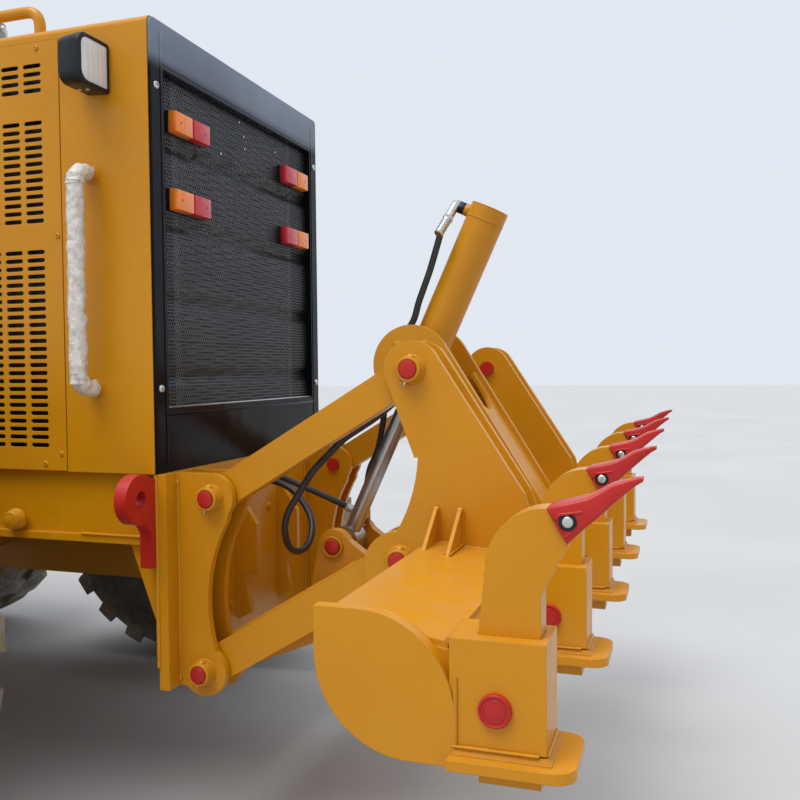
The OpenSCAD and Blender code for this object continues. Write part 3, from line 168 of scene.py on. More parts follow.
def turned(bm, profile, base, direction, sides=32):
    """A turned solid: profile is a list of (distance along, radius) from base in a direction."""
    spin = Vector(direction).normalized().to_track_quat("Z", "Y").to_matrix()
    skin(bm, [[Vector(base) + spin @ Vector((r * math.cos(a), r * math.sin(a), along)) for a in angles(sides)]
              for along, r in profile])


def sweep(bm, points, sides, reach):
    """A tube along points, whose ring turns as little as possible; reach gives its radius."""
    rings = []
    normal = None
    for i, p in enumerate(points):
        tangent = (points[min(i + 1, len(points) - 1)] - points[max(i - 1, 0)]).normalized()
        if normal is None:
            normal = tangent.orthogonal().normalized()
        normal = (normal - tangent * normal.dot(tangent)).normalized()
        other = tangent.cross(normal)
        ways = [normal * math.cos(a) + other * math.sin(a) for a in angles(sides)]
        rings.append([p + way * reach(i, p, way) for way in ways])
    skin(bm, rings)


WRAP_GRAIN = 60
WELD_SIDES = 6
WELD_GRAIN = 45


def tube(bm, points, radius, sides=12, wobble=0.0, seed=0):
    """A round tube along points, uneven by wobble."""
    def reach(i, p, way):
        return radius + wobble * noise.noise((p + way * radius) * WRAP_GRAIN + X * seed)
    sweep(bm, [Vector(p) for p in points], sides, reach)


def weld(bm, points, radius, seed=0, ripple=0.004):
    """A weld bead along points: a low tube with the ripples of its passes."""
    def reach(i, p, way):
        return radius * (1.0 + (0.10 if i % 2 else -0.06) + 0.22 * noise.noise(p * WELD_GRAIN + X * seed))
    points = [Vector(p) for p in points]
    run = [points[0]]
    for a, b in zip(points, points[1:]):
        count = max(1, round((b - a).length / ripple))
        run += [a.lerp(b, (k + 1) / count) for k in range(count)]
    sweep(bm, run, WELD_SIDES, reach)


def smooth_route(points, step=0.02):
    """A Catmull-Rom curve through points, cut into short straight steps."""
    pts = [Vector(p) for p in points]
    pts = [pts[0] * 2 - pts[1]] + pts + [pts[-1] * 2 - pts[-2]]
    route = []
    for a, b, c, d in zip(pts, pts[1:], pts[2:], pts[3:]):
        count = max(2, round((c - b).length / step))
        for t in (k / count for k in range(count)):
            route.append(0.5 * ((2 * b) + (c - a) * t + (2 * a - 5 * b + 4 * c - d) * t * t
                                + (3 * b - a - 3 * c + d) * t ** 3))
    return route + [pts[-2]]


def rounded(points, radius, steps=6):
    """A path whose inner corners are rounded by arcs of about this radius."""
    pts = [Vector(p) for p in points]
    path = [pts[0]]
    for a, b, c in zip(pts, pts[1:], pts[2:]):
        start = b + (a - b).normalized() * radius
        end = b + (c - b).normalized() * radius
        path += [start.lerp(b, k / steps).lerp(b.lerp(end, k / steps), k / steps) for k in range(steps + 1)]
    return path + [pts[-1]]


def arc(centre, radius, start=0, end=360, count=28, plane=(X, Z)):
    """Points on a circle about centre, from one angle to another in degrees."""
    turns = [math.radians(start + (end - start) * k / count) for k in range(count + 1)]
    return [Vector(centre) + (plane[0] * math.cos(a) + plane[1] * math.sin(a)) * radius for a in turns]


def torus(bm, centre, radius, thick, plane=(X, Z)):
    """A round ring about centre."""
    axis = plane[0].cross(plane[1])
    rings = []
    for p in arc(centre, radius, count=40, plane=plane)[:-1]:
        out = (p - Vector(centre)).normalized()
        rings.append([p + (out * math.cos(a) + axis * math.sin(a)) * thick for a in angles(8)])
    skin(bm, rings, around=True)


def rounded_square(corner, count=5):
    """Points of a square of half 1 whose corners are arcs of this radius."""
    ring = []
    for cy, cz, start in ((1, 1, 0), (-1, 1, 90), (-1, -1, 180), (1, -1, 270)):
        for p in arc((cy * (1 - corner), 0, cz * (1 - corner)), corner, start, start + 90, count - 1):
            ring.append((p.x, p.z))
    return ring


def rim_of(last_i, last_j):
    """The outer places of a grid, in order around it."""
    rim = [(i, 0) for i in range(last_i)] + [(last_i, j) for j in range(last_j)]
    return rim + [(i, last_j) for i in range(last_i, 0, -1)] + [(0, j) for j in range(last_j, 0, -1)]


def dome_bolt(bm, base, way, radius, height, sides=20):
    """A low round bolt head with a socket pressed in its middle."""
    turned(bm, [(-0.002, radius), (height * 0.35, radius), (height * 0.75, radius * 0.86),
                (height, radius * 0.55), (height, radius * 0.42), (height * 0.55, radius * 0.40)],
           base, way, sides)


def hex_bolt(bm, base, way, radius, height, washer=1.35):
    """A hexagon bolt head on its washer."""
    foot = [(-0.002, radius * washer), (height * 0.22, radius * washer), (height * 0.28, radius)]
    head = [(height * 0.2, radius * 0.96), (height * 0.9, radius * 0.96), (height, radius * 0.82)]
    turned(bm, foot, base, way, 24)
    turned(bm, head, base, way, 6)


def upright_bar(bm, x, feet, reach, levels, bend, steps, radius, sides=12):
    """A bent bar on a wall: its feet at y = feet on two levels, its grip at y = reach."""
    first, last = levels
    path = [at(x, feet, first), at(x, reach, first), at(x, reach, last), at(x, feet, last)]
    tube(bm, rounded(path, bend, steps), radius, sides)


# Materials. Each is made once, by its own function, from procedural nodes.
MATERIALS = {}


def material(make):
    """Registers a material's function, which is called the first time that the material is asked for."""
    made = []

    def once():
        if not made:
            made.append(bpy.data.materials.new(make.__name__ + "_finish"))
            made[0].use_nodes = True
            make(Nodes(made[0]))
        return made[0]
    MATERIALS[make.__name__] = once
    return once


class Nodes:
    """Short ways to add and link the nodes of one material or world."""

    def __init__(self, owner):
        self.tree = owner.node_tree
        self.shader = self.tree.nodes.get("Principled BSDF")
        self.places = self.add("TexCoord").outputs
        self.coords = self.places["Object"]

    def put(self, socket, value):
        """Links the socket where value is an output, and sets it otherwise."""
        if hasattr(value, "is_linked"):
            self.tree.links.new(value, socket)
        else:
            socket.default_value = (*value, 1) if socket.type == "RGBA" else value

    def add(self, kind, **values):
        node = self.tree.nodes.new("ShaderNode" + kind)
        for key, value in values.items():
            self.put(node.inputs[key], value)
        return node

    def set(self, **values):
        for key, value in values.items():
            self.put(self.shader.inputs[key.replace("_", " ")], value)

    def noise(self, scale, detail=4.0, roughness=0.5, stretch=None):
        source = self.coords
        if stretch:
            source = self.add("Mapping", Scale=stretch, Vector=source).outputs["Vector"]
        noise = self.add("TexNoise", Scale=scale, Detail=detail, Roughness=roughness, Vector=source)
        return noise.outputs["Fac"]

    def ramp(self, factor, *stops):
        """Colours or greys by stops of (place, colour), in rising order."""
        node = self.add("ValToRGB", Fac=factor)
        elements = node.color_ramp.elements
        elements.remove(elements[-1])
        for i, (place, colour) in enumerate(stops):
            element = elements.new(place) if i else elements[0]
            element.position = place
            element.color = (colour, colour, colour, 1) if isinstance(colour, float) else (*colour, 1)
        return node.outputs["Color"]

    def mix(self, factor, a, b):
        node = self.add("Mix")
        node.data_type = "RGBA"
        for k, value in ((0, factor), (6, a), (7, b)):
            self.put(node.inputs[k], value)
        return node.outputs[2]

    def math(self, operation, a, b):
        node = self.add("Math")
        node.operation = operation
        self.put(node.inputs[0], a)
        self.put(node.inputs[1], b)
        return node.outputs[0]

    def split(self, vector):
        return self.add("SeparateXYZ", Vector=vector).outputs

    def facing_up(self):
        """1 where the surface faces up, 0 where it faces sideways or down."""
        return self.ramp(self.split(self.add("NewGeometry").outputs["Normal"])[2], (0.35, 0.0), (0.95, 1.0))

    def bump(self, *layers, edge=0.0):
        """Bumps of (height, distance), one on the other, over edges rounded by a bevel."""
        under = {}
        if edge:
            bevel = self.add("Bevel", Radius=edge)
            bevel.samples = 4
            under = {"Normal": bevel.outputs["Normal"]}
        for height, distance in layers:
            node = self.add("Bump", Height=height, Distance=distance, Strength=1.0, **under)
            under = {"Normal": node.outputs["Normal"]}
        self.set(**under)


def mottled(n, scale, detail, low, high, grain=None, edge=0.0, **values):
    """A surface that drifts between two tones, with a fine grain of (scale, detail, height)."""
    n.set(Base_Color=n.ramp(n.noise(scale, detail), (0.3, low), (0.8, high)), **values)
    if grain:
        n.bump((n.noise(*grain[:2]), grain[2]), edge=edge)


YELLOW = (0.585, 0.245, 0.002)
YELLOW_DEEP = (0.530, 0.210, 0.0015)
YELLOW_PALE = (0.615, 0.285, 0.012)
DUST = (0.36, 0.31, 0.24)


def paint(n, base, deep, pale, dust_amount, edge=0.0025):
    """Sprayed paint: slow changes of tone, orange peel, soft edges and dust on what faces up."""
    tone = n.mix(n.ramp(n.noise(1.7, 3.0), (0.35, 0.0), (0.68, 1.0)), deep, base)
    tone = n.mix(n.ramp(n.noise(9.0, 6.0, 0.6), (0.52, 0.0), (0.85, 0.35)), tone, pale)
    dust = n.math("MULTIPLY", n.facing_up(),
                  n.ramp(n.noise(14.0, 8.0, 0.65), (0.35, 0.0), (0.75, dust_amount)))
    n.set(Base_Color=n.mix(dust, tone, DUST), Roughness=n.ramp(n.noise(6.0, 5.0), (0.3, 0.30), (0.75, 0.48)),
          Coat_Weight=0.10, Coat_Roughness=0.08, Specular_IOR_Level=0.30)
    n.bump((n.noise(5.5, 2.0), 0.0035), (n.noise(420.0, 2.0), 0.00012), edge=edge)


@material
def yellow_paint(n):
    paint(n, YELLOW, YELLOW_DEEP, YELLOW_PALE, 0.16)


@material
def red_paint(n):
    paint(n, (0.50, 0.018, 0.012), (0.40, 0.012, 0.008), (0.55, 0.040, 0.030), 0.15, edge=0.002)


# A painted reflection of the sky: a bluish grey band on the black paint of the hood's top edge, given as
# (height / scale, how much).
SKY_REFLECTION_SCALE = 2.4
SKY_REFLECTION_BAND = [(0.866, 0.0), (0.880, 0.45), (0.925, 0.62), (0.950, 0.0)]
SKY_REFLECTION_COLOUR = (0.42, 0.50, 0.63)


@material
def black_paint(n):
    paint(n, (0.0065, 0.007, 0.009), (0.004, 0.0045, 0.006), (0.013, 0.014, 0.016), 0.10, edge=0.002)
    # Painted sky reflection: a bluish grey band, placed by height, mixed over the paint's own colour.
    height = n.math("MULTIPLY", n.split(n.coords)[2], 1.0 / SKY_REFLECTION_SCALE)
    painted_reflection = n.math("MULTIPLY", n.ramp(height, *SKY_REFLECTION_BAND), n.ramp(n.noise(2.0, 4.0), (0.3, 0.6), (0.7, 1.0)))
    bare = n.shader.inputs["Base Color"].links[0].from_socket
    n.set(Base_Color=n.mix(painted_reflection, bare, SKY_REFLECTION_COLOUR),
          Roughness=n.ramp(n.noise(3.0, 5.0), (0.3, 0.08), (0.8, 0.20)),
          Coat_Weight=0.0, Specular_IOR_Level=0.10)


@material
def black_mesh(n):
    mottled(n, 5.0, 5.0, (0.006, 0.0065, 0.008), (0.020, 0.019, 0.019), (90.0, 2.0, 0.0004), Roughness=0.38)


@material
def steel(n):
    grain = n.noise(40.0, 6.0, 0.6, stretch=(1, 1, 8))
    n.set(Base_Color=n.ramp(grain, (0.3, (0.20, 0.195, 0.19)), (0.8, (0.42, 0.41, 0.40))),
          Roughness=n.ramp(grain, (0.3, 0.32), (0.8, 0.52)), Metallic=0.9)
    n.bump((grain, 0.0003), edge=0.0015)


@material
def zinc(n):
    mottled(n, 60.0, 4.0, (0.50, 0.50, 0.48), (0.72, 0.71, 0.68), (160.0, 2.0, 0.0002),
            Metallic=1.0, Roughness=0.3)


@material
def chrome_rod(n):
    mottled(n, 12.0, 4.0, (0.42, 0.42, 0.43), (0.56, 0.56, 0.56), Metallic=1.0,
            Roughness=n.ramp(n.noise(25.0, 6.0), (0.35, 0.30), (0.8, 0.44)))


@material
def cast_metal(n):
    mottled(n, 20.0, 6.0, (0.05, 0.05, 0.052), (0.12, 0.115, 0.11), (120.0, 5.0, 0.0010), edge=0.004,
            Roughness=0.65, Metallic=0.3)


@material
def rubber_hose(n):
    mottled(n, 50.0, 4.0, (0.010, 0.010, 0.011), (0.028, 0.027, 0.026), (300.0, 2.0, 0.0003), Roughness=0.42)


@material
def tyre(n):
    x, y, z = n.split(n.coords)
    reach = n.math("SQRT", n.math("ADD", n.math("MULTIPLY", x, x), n.math("MULTIPLY", z, z)), 0.0)
    on_tread = n.ramp(n.math("SUBTRACT", reach, 0.14), (0.40, 0.30), (0.50, 1.0))
    dust = n.math("MULTIPLY", on_tread, n.ramp(n.noise(8.0, 8.0, 0.7), (0.30, 0.25), (0.62, 1.0)))
    rubber = n.ramp(n.noise(30.0, 4.0), (0.3, (0.012, 0.012, 0.013)), (0.8, (0.030, 0.029, 0.028)))
    clay = n.ramp(n.noise(60.0, 8.0, 0.7), (0.3, (0.26, 0.23, 0.19)), (0.75, (0.47, 0.43, 0.38)))
    clay = n.mix(n.ramp(n.noise(5.0, 3.0), (0.50, 0.0), (0.62, 0.75)), clay, (0.36, 0.25, 0.10))
    n.set(Base_Color=n.mix(dust, rubber, clay), Roughness=n.ramp(dust, (0.2, 0.55), (0.8, 0.92)))
    n.bump((n.noise(70.0, 8.0, 0.7), 0.0018), edge=0.004)


@material
def clear_glass(n):
    n.set(Base_Color=(0.78, 0.88, 0.86), Roughness=0.02, Transmission_Weight=1.0, IOR=1.22)
    n.bump((n.noise(2.0, 2.0), 0.0004))


@material
def lamp_glass(n):
    flutes = n.noise(4.0, 2.0, 0.5, stretch=(1, 55, 1.5))
    n.set(Base_Color=n.ramp(flutes, (0.3, (0.78, 0.80, 0.82)), (0.7, (0.98, 0.98, 0.98))),
          Roughness=0.08, Transmission_Weight=0.25, IOR=1.45)
    n.bump((flutes, 0.0015))


def lens(n, low, high):
    """A moulded lens with fine upright flutes."""
    n.set(Base_Color=n.ramp(n.noise(90.0, 3.0, 0.5, stretch=(1, 1, 0.2)), (0.3, low), (0.75, high)),
          Roughness=0.22, Coat_Weight=0.35, Coat_Roughness=0.12)
    n.bump((n.noise(300.0, 1.0, 0.5, stretch=(1, 1, 0.1)), 0.0003))


@material
def amber_lens(n):
    lens(n, (0.80, 0.17, 0.006), (0.98, 0.28, 0.015))


@material
def lamp_lens(n):
    lens(n, (0.48, 0.004, 0.016), (0.64, 0.012, 0.028))


@material
def mirror_bowl(n):
    mottled(n, 30.0, 2.0, (0.70, 0.71, 0.72), (0.86, 0.87, 0.88), Metallic=1.0, Roughness=0.16)


@material
def core_metal(n):
    mottled(n, 30.0, 4.0, (0.44, 0.44, 0.46), (0.66, 0.66, 0.68), (200.0, 3.0, 0.0004),
            Roughness=0.45, Metallic=0.2)


@material
def white_wrap(n):
    creases = n.noise(55.0, 8.0, 0.7)
    # The tone follows the creases' own noise: darker and browner where they sink lowest.
    tone = n.ramp(creases, (0.28, (0.36, 0.32, 0.27)), (0.5, (0.68, 0.63, 0.56)), (0.75, (0.84, 0.81, 0.76)))
    n.set(Base_Color=tone, Roughness=0.35, Coat_Weight=0.4, Coat_Roughness=0.2)
    n.bump((creases, 0.004), (n.noise(190.0, 4.0), 0.0012))


@material
def black_plastic(n):
    mottled(n, 8.0, 4.0, (0.007, 0.008, 0.011), (0.016, 0.018, 0.023), (500.0, 2.0, 0.00025), edge=0.002,
            Roughness=0.38, Specular_IOR_Level=0.25)


@material
def black_fabric(n):
    mottled(n, 12.0, 5.0, (0.018, 0.018, 0.020), (0.035, 0.034, 0.036), (700.0, 2.0, 0.0006),
            Roughness=0.9, Sheen_Weight=0.25)


# Stage, light and camera, at the photograph's own viewpoint.
PHOTO_SIDE = 800
FOCAL_PIXELS = 878
SENSOR = 36.0
EYE = (-1.3246, 2.4870, 1.2900)
EYE_RIGHT = (-0.94932, -0.31417, -0.00917)
EYE_DOWN = (-0.00251, 0.03673, -0.99932)
EYE_AHEAD = (0.31429, -0.94866, -0.03566)
FAR_CLIP = 200


def camera():
    data = bpy.data.cameras.new("camera")
    data.sensor_width = SENSOR
    data.lens = SENSOR * FOCAL_PIXELS / PHOTO_SIDE
    data.clip_end = FAR_CLIP
    obj = linked("camera", data)
    turn = Matrix((Vector(EYE_RIGHT), -Vector(EYE_DOWN), -Vector(EYE_AHEAD))).transposed().to_4x4()
    obj.matrix_world = Matrix.Translation(at(*EYE)) @ turn
    bpy.context.scene.camera = obj


SKY_LOW = (0.46, 0.50, 0.56)
SKY_HIGH = (1.25, 1.30, 1.36)
SKY_SEEN = (0.76, 0.81, 0.88)
SUN_FROM = Vector((1.8, 3.4, 9.0))
SUN_POWER = 2.1
SUN_ANGLE = math.radians(38)
FLOOR_HALF = 60.0


def sun():
    data = bpy.data.lights.new("sun", "SUN")
    data.energy = SUN_POWER
    data.angle = SUN_ANGLE
    obj = linked("sun", data)
    obj.location = SUN_FROM
    obj.rotation_mode = "QUATERNION"
    obj.rotation_quaternion = (-SUN_FROM).to_track_quat("-Z", "Y")


def floor():
    """A pale floor."""
    mesh = bpy.data.meshes.new("floor")
    corners = [(a * FLOOR_HALF, b * FLOOR_HALF, 0) for a, b in ((-1, -1), (1, -1), (1, 1), (-1, 1))]
    mesh.from_pydata(corners, [], [(0, 1, 2, 3)])
    made = bpy.data.materials.new("floor")
    made.use_nodes = True
    n = Nodes(made)
    tone = n.ramp(n.noise(0.6, 4.0), (0.3, (0.42, 0.42, 0.42)), (0.8, (0.47, 0.47, 0.465)))
    n.set(Base_Color=tone, Roughness=0.85)
    mesh.materials.append(made)
    linked("floor", mesh)


def sky():
    """A sky that lights from above and looks even where a ray reaches it straight."""
    world = bpy.data.worlds.new("sky")
    world.use_nodes = True
    n = Nodes(world)
    lit = n.tree.nodes["Background"]
    n.put(lit.inputs["Color"], n.ramp(n.split(n.places["Generated"])[2], (0.0, SKY_LOW), (1.0, SKY_HIGH)))
    seen = n.add("Background", Color=SKY_SEEN)
    ray = n.add("LightPath").outputs
    glossy_or_camera = n.math("MAXIMUM", ray["Is Camera Ray"], ray["Is Glossy Ray"])
    blend = n.add("MixShader", Fac=n.math("MAXIMUM", glossy_or_camera, ray["Is Transmission Ray"]))
    n.put(blend.inputs[1], lit.outputs[0])
    n.put(blend.inputs[2], seen.outputs[0])
    n.put(n.tree.nodes["World Output"].inputs["Surface"], blend.outputs[0])
    bpy.context.scene.world = world


def stage():
    floor()
    sky()
    sun()
    bpy.context.scene.view_settings.view_transform = "Standard"


def dress_frame():
    """Gives the CAD nodes the materials that their slots in the record name."""
    for row in frame["record"]["subparts"]:
        mesh = frame["nodes"][row["node"]].data
        mesh.materials.clear()
        mesh.materials.append(MATERIALS[row["material_slot"]]())


# Hood: slotted side panels, their bolts, the rear grille and the lamps.
PANEL_X = (0.275, 1.219)
PANEL_Z = (1.022, 2.1745)
SLOT_X = 0.3245
SLOT_STEP = (0.073, 0.0218)
SLOT_L = 0.0585
SLOT_H = 0.0115
SLOT_COLUMNS = 12
SLOT_BLOCKS = [(1.0908, 25), (1.6984, 13), (2.0466, 4)]
SHEET = 0.003
FOLD = 0.022
HOOD_Y = 0.525
PANEL_BOLTS = [(0.345, 2.158), (0.760, 2.158), (1.170, 2.158), (0.292, 1.068), (0.345, 1.040), (0.760, 1.040),
               (1.170, 1.040), (1.202, 1.300), (1.202, 1.850), (0.288, 1.655)]


def slotted_panel(bm, side):
    """A sheet with its rows of round-ended slots, cut through, and a folded edge all round."""
    step_x, step_z = SLOT_STEP
    xs = [PANEL_X[0]] + [SLOT_X + k * step_x for k in range(SLOT_COLUMNS + 1)] + [PANEL_X[1]]
    zs = [PANEL_Z[0]]
    slotted = []
    for low, rows in SLOT_BLOCKS:
        zs.append(low - step_z / 2)
        for k in range(rows):
            slotted.append(len(zs) - 1)
            zs.append(low + (k + 0.5) * step_z)
    zs.append(PANEL_Z[1])
    last_x, last_z = len(xs) - 1, len(zs) - 1
    faces = [side * HOOD_Y, side * (HOOD_Y - SHEET)]
    grid = [[[bm.verts.new(at(x, y, z)) for z in zs] for x in xs] for y in faces]
    r = SLOT_H / 2
    middle = X * (SLOT_L / 2 - r)
    ends = arc(middle, r, -90, 90, 4) + arc(-middle, r, 90, 270, 4)
    for i in range(last_x):
        for j in range(last_z):
            corners = [[g[i][j], g[i + 1][j], g[i + 1][j + 1], g[i][j + 1]] for g in grid]
            if j not in slotted or i in (0, last_x - 1):
                for c in corners:
                    bm.faces.new(c)
                continue
            mid = at((xs[i] + xs[i + 1]) / 2, 0, (zs[j] + zs[j + 1]) / 2)
            rims = [[bm.verts.new(mid + p + Y * y) for p in ends] for y in faces]
            for c, rim in zip(corners, rims):
                bm.faces.new((c[0], c[1], rim[0], rim[9]))
                bm.faces.new((c[1], c[2], *reversed(rim[0:5])))
                bm.faces.new((c[2], c[3], rim[5], rim[4]))
                bm.faces.new((c[3], c[0], *reversed(rim[5:10])))
            for k in range(10):
                m = (k + 1) % 10
                bm.faces.new((rims[0][k], rims[0][m], rims[1][m], rims[1][k]))
    loop = rim_of(last_x, last_z)
    for (i, j), (m, n) in zip(loop, loop[1:] + loop[:1]):
        bm.faces.new((grid[0][i][j], grid[0][m][n], grid[1][m][n], grid[1][i][j]))
    inner, deep = side * (HOOD_Y - SHEET), side * (HOOD_Y - FOLD)
    (x0, x1), (z0, z1) = PANEL_X, PANEL_Z
    for a, b, c, d in ((x0, x0 + SHEET, z0, z1), (x1 - SHEET, x1, z0, z1),
                       (x0 + SHEET, x1 - SHEET, z0, z0 + SHEET), (x0 + SHEET, x1 - SHEET, z1 - SHEET, z1)):
        block(bm, at(a, deep, c), at(b, inner, d))


def side_panels():
    with part("slotted_side_panels", "chassis", "yellow_paint", FLAT, ["hood_side_panels"]) as bm:
        for side in SIDES:
            slotted_panel(bm, side)
    with part("panel_liners", "chassis", "black_plastic", 0.0015) as bm:
        for side in SIDES:
            block(bm, at(PANEL_X[0] - 0.001, side * (HOOD_Y - 0.0235), PANEL_Z[0] + 0.004),
                  at(PANEL_X[1] + 0.001, side * (HOOD_Y - 0.031), PANEL_Z[1] - 0.001))
    with part("panel_bolts", "chassis", "yellow_paint") as bm:
        for side in SIDES:
            for x, z in PANEL_BOLTS:
                dome_bolt(bm, at(x, side * HOOD_Y, z), (0, side, 0), 0.0075, 0.0035)


# The rear face, y and z: its opening, and the pressed folds of the mesh sheet.
GRILLE_Y = 0.467
GRILLE_Z = (1.1885, 2.0815)
FOLD_STEP = 0.208
FOLD_Z = 1.376
HOLE_STEP = 0.011
HOLE_SHARE = 0.66
MESH_SHEET = 0.0018
CORE_TUBES = 56
CORE_Z = (1.030, 2.095)


def sheet_x(z):
    """How far back the mesh sheet stands: crowned panels that dip into a narrow fold at every step."""
    t = abs(((z - FOLD_Z) / FOLD_STEP) % 1.0 - 0.5) * FOLD_STEP
    fold = max(0.0, 1 - t / 0.030)
    return 0.0105 + 0.0040 * (1 - t / 0.104) ** 2 + 0.0110 * fold * fold * (3 - 2 * fold)


def perforated_sheet():
    """The mesh sheet: staggered six-sided holes in six-sided cells, pressed into folds."""
    row = HOLE_STEP * math.sqrt(3) / 2
    cell = HOLE_STEP / math.sqrt(3)
    turns = [math.radians(30 + 60 * k) for k in range(6)]
    verts, faces, corners = [], [], {}

    def vertex(y, z, deep=0.0):
        verts.append(at(sheet_x(z) + deep, y, z))
        return len(verts) - 1

    def corner(y, z):
        key = (round(y * 2e4), round(z * 2e4))
        if key not in corners:
            corners[key] = vertex(y, z)
        return corners[key]

    for j in range(int((GRILLE_Z[1] - GRILLE_Z[0]) / row) + 1):
        for i in range(int(2 * GRILLE_Y / HOLE_STEP) + 1):
            y = -GRILLE_Y + (i + 0.5 * (j % 2)) * HOLE_STEP
            z = GRILLE_Z[0] + j * row
            hexagon = [(cell * math.cos(a), cell * math.sin(a)) for a in turns]
            outer = [corner(y + a, z + b) for a, b in hexagon]
            hole = [(y + HOLE_SHARE * a, z + HOLE_SHARE * b) for a, b in hexagon]
            inner, deep = ([vertex(*p, d) for p in hole] for d in (0, MESH_SHEET))
            for k in range(6):
                m = (k + 1) % 6
                faces.append((outer[k], inner[k], inner[m], outer[m]))
                faces.append((inner[k], deep[k], deep[m], inner[m]))
    mesh = bpy.data.meshes.new("perforated_sheet")
    mesh.from_pydata(verts, [], faces)
    dress(linked("perforated_sheet", mesh), "chassis", "black_mesh", ["grille_mesh"])


def grille():
    """The mesh sheet, the radiator's core behind it, and the strips, bolts and lips of its frame."""
    perforated_sheet()
    with part("radiator_tubes", "chassis", "core_metal", FLAT) as bm:
        for k in range(CORE_TUBES):
            y = -0.330 + k * 0.012
            block(bm, at(0.030, y, CORE_Z[0]), at(0.066, y + 0.0055, CORE_Z[1]))
        for side in SIDES:
            block(bm, at(0.029, side * 0.342, CORE_Z[0]), at(0.069, side * 0.375, CORE_Z[1]))
    with part("grille_strips", "chassis", "zinc", 0.0006) as bm:
        for z in (FOLD_Z, FOLD_Z + FOLD_STEP):
            block(bm, at(0.0215, -0.462, z - 0.003), at(0.0245, 0.462, z + 0.003))
        block(bm, at(-0.0035, -0.4645, 1.1905), at(0.008, 0.4645, 1.1945))
    with part("grille_rivets", "chassis", "zinc") as bm:
        for y, z in ((0.023, 2.060), (-0.003, 2.021), (-0.008, 1.984), (0.138, 1.937), (-0.222, 2.023)):
            dome_bolt(bm, at(sheet_x(z) - 0.0005, y, z), BACK, 0.0042, 0.003, 12)
    with part("grille_bolts", "chassis", "zinc") as bm:
        for y in (0.500, -0.500):
            for z in (2.030, 1.243):
                dome_bolt(bm, at(-0.008, y, z), BACK, 0.0105, 0.006, 24)
    with part("grille_lips", "chassis", "black_paint", 0.0015) as bm:
        for side in SIDES:
            block(bm, at(-0.010, side * 0.474, 1.035), at(-0.006, side * 0.481, 2.175))
        for low, high in ((2.0905, 2.0965), (1.1700, 1.1760)):
            block(bm, at(-0.010, -0.4735, low), at(-0.006, 0.4735, high))


LAMP_Y = 0.338
LAMP_LEVELS = (1.750, 1.957)


def lens_block(bm, y0, y1, z0, z1):
    """A lens whose sides draw in a little towards its face."""
    rings = []
    for x, draft in ((0.004, 0.0), (-0.0200, 0.003)):
        y = (y0 + draft, y1 - draft)
        z = (z0 + draft, z1 - draft)
        rings.append([at(x, y[i], z[j]) for i, j in ((0, 0), (1, 0), (1, 1), (0, 1))])
    skin(bm, rings)


def tail_lamps():
    """Two pairs of lamps on each side: an amber outer lens and a red inner one on a black base, with leads."""
    with parts(("amber_lenses", "chassis", "amber_lens", 0.0025, ["tail_lamps"]),
               ("red_lenses", "chassis", "lamp_lens", 0.0025, ["tail_lamps"]),
               ("lamp_bases", "chassis", "black_plastic", 0.0015),
               ("lamp_leads", "chassis", "rubber_hose")) as (amber, red, bases, leads):
        for side in SIDES:
            for z in LAMP_LEVELS:
                for bm, near, far in ((amber, 0.0008, 0.090), (red, -0.090, -0.0008)):
                    y0, y1 = sorted((side * (LAMP_Y + near), side * (LAMP_Y + far)))
                    lens_block(bm, y0, y1, z - 0.030, z + 0.030)
                y = side * LAMP_Y
                block(bases, at(0.004, y - 0.0895, z - 0.0295), at(0.0175, y + 0.0895, z + 0.0295))
                for dy in (-0.062, 0.062):
                    dome_bolt(bases, at(-0.0188, y + dy, z), BACK, 0.0042, 0.0016, 14)
            for lean in (-0.004, 0.006):
                route = [(0.008, 0.318, 1.9300), (-0.004, 0.316, 1.921), (-0.007, 0.309 + side * lean, 1.907),
                         (0.000, 0.300 + side * lean, 1.893), (0.013, 0.297 + side * lean, 1.884)]
                tube(leads, smooth_route([at(x, side * y, z) for x, y, z in route], 0.004), 0.0019, 8)


# Work lamps: rounded housings with a deep bowl behind a clear lens that faces the rear. Each ring of a lamp is
# x, inner and outer y, low and high z, and the radius of its outer corners.
LAMP_SHELL = [(0.200, 0.528, 0.596, 2.040, 2.112, 0.016), (0.192, 0.526, 0.628, 2.024, 2.126, 0.024),
              (0.176, 0.526, 0.643, 2.013, 2.134, 0.026), (0.126, 0.526, 0.647, 2.010, 2.138, 0.028),
              (0.115, 0.526, 0.646, 2.010, 2.138, 0.029), (0.112, 0.529, 0.643, 2.014, 2.134, 0.028),
              (0.112, 0.533, 0.639, 2.019, 2.129, 0.026), (0.121, 0.535, 0.637, 2.021, 2.127, 0.025)]
LAMP_BOWL = [(0.1200, 0.5365, 0.6345, 2.0235, 2.1255, 0.0245), (0.1185, 0.540, 0.631, 2.027, 2.122, 0.024),
             (0.1200, 0.546, 0.625, 2.033, 2.116, 0.022)]
DOME_STEPS = ((0.1190, 0.0), (0.1150, 0.0005), (0.1128, 0.006), (0.1116, 0.016), (0.1110, 0.030))
LAMP_DOME = [(x, 0.5335 + inset, 0.6375 - inset, 2.0195 + inset, 2.1285 - inset,
              max(0.0255 - inset * 0.6, 0.004)) for x, inset in DOME_STEPS]
HUG = 0.006


def housing_ring(side, x, y0, y1, z0, z1, radius):
    """A rounded outline across the machine at x; its inner side, on the hood, stays nearly square."""
    ring = []
    for y, z, start, r in ((y1, z1, 0, radius), (y0, z1, 90, HUG), (y0, z0, 180, HUG), (y1, z0, 270, radius)):
        y += -r if start in (0, 270) else r
        z += -r if start in (0, 90) else r
        ring += arc(at(x, side * y, z), r, start, start + 90, 6, (Y * side, Z))
    return ring


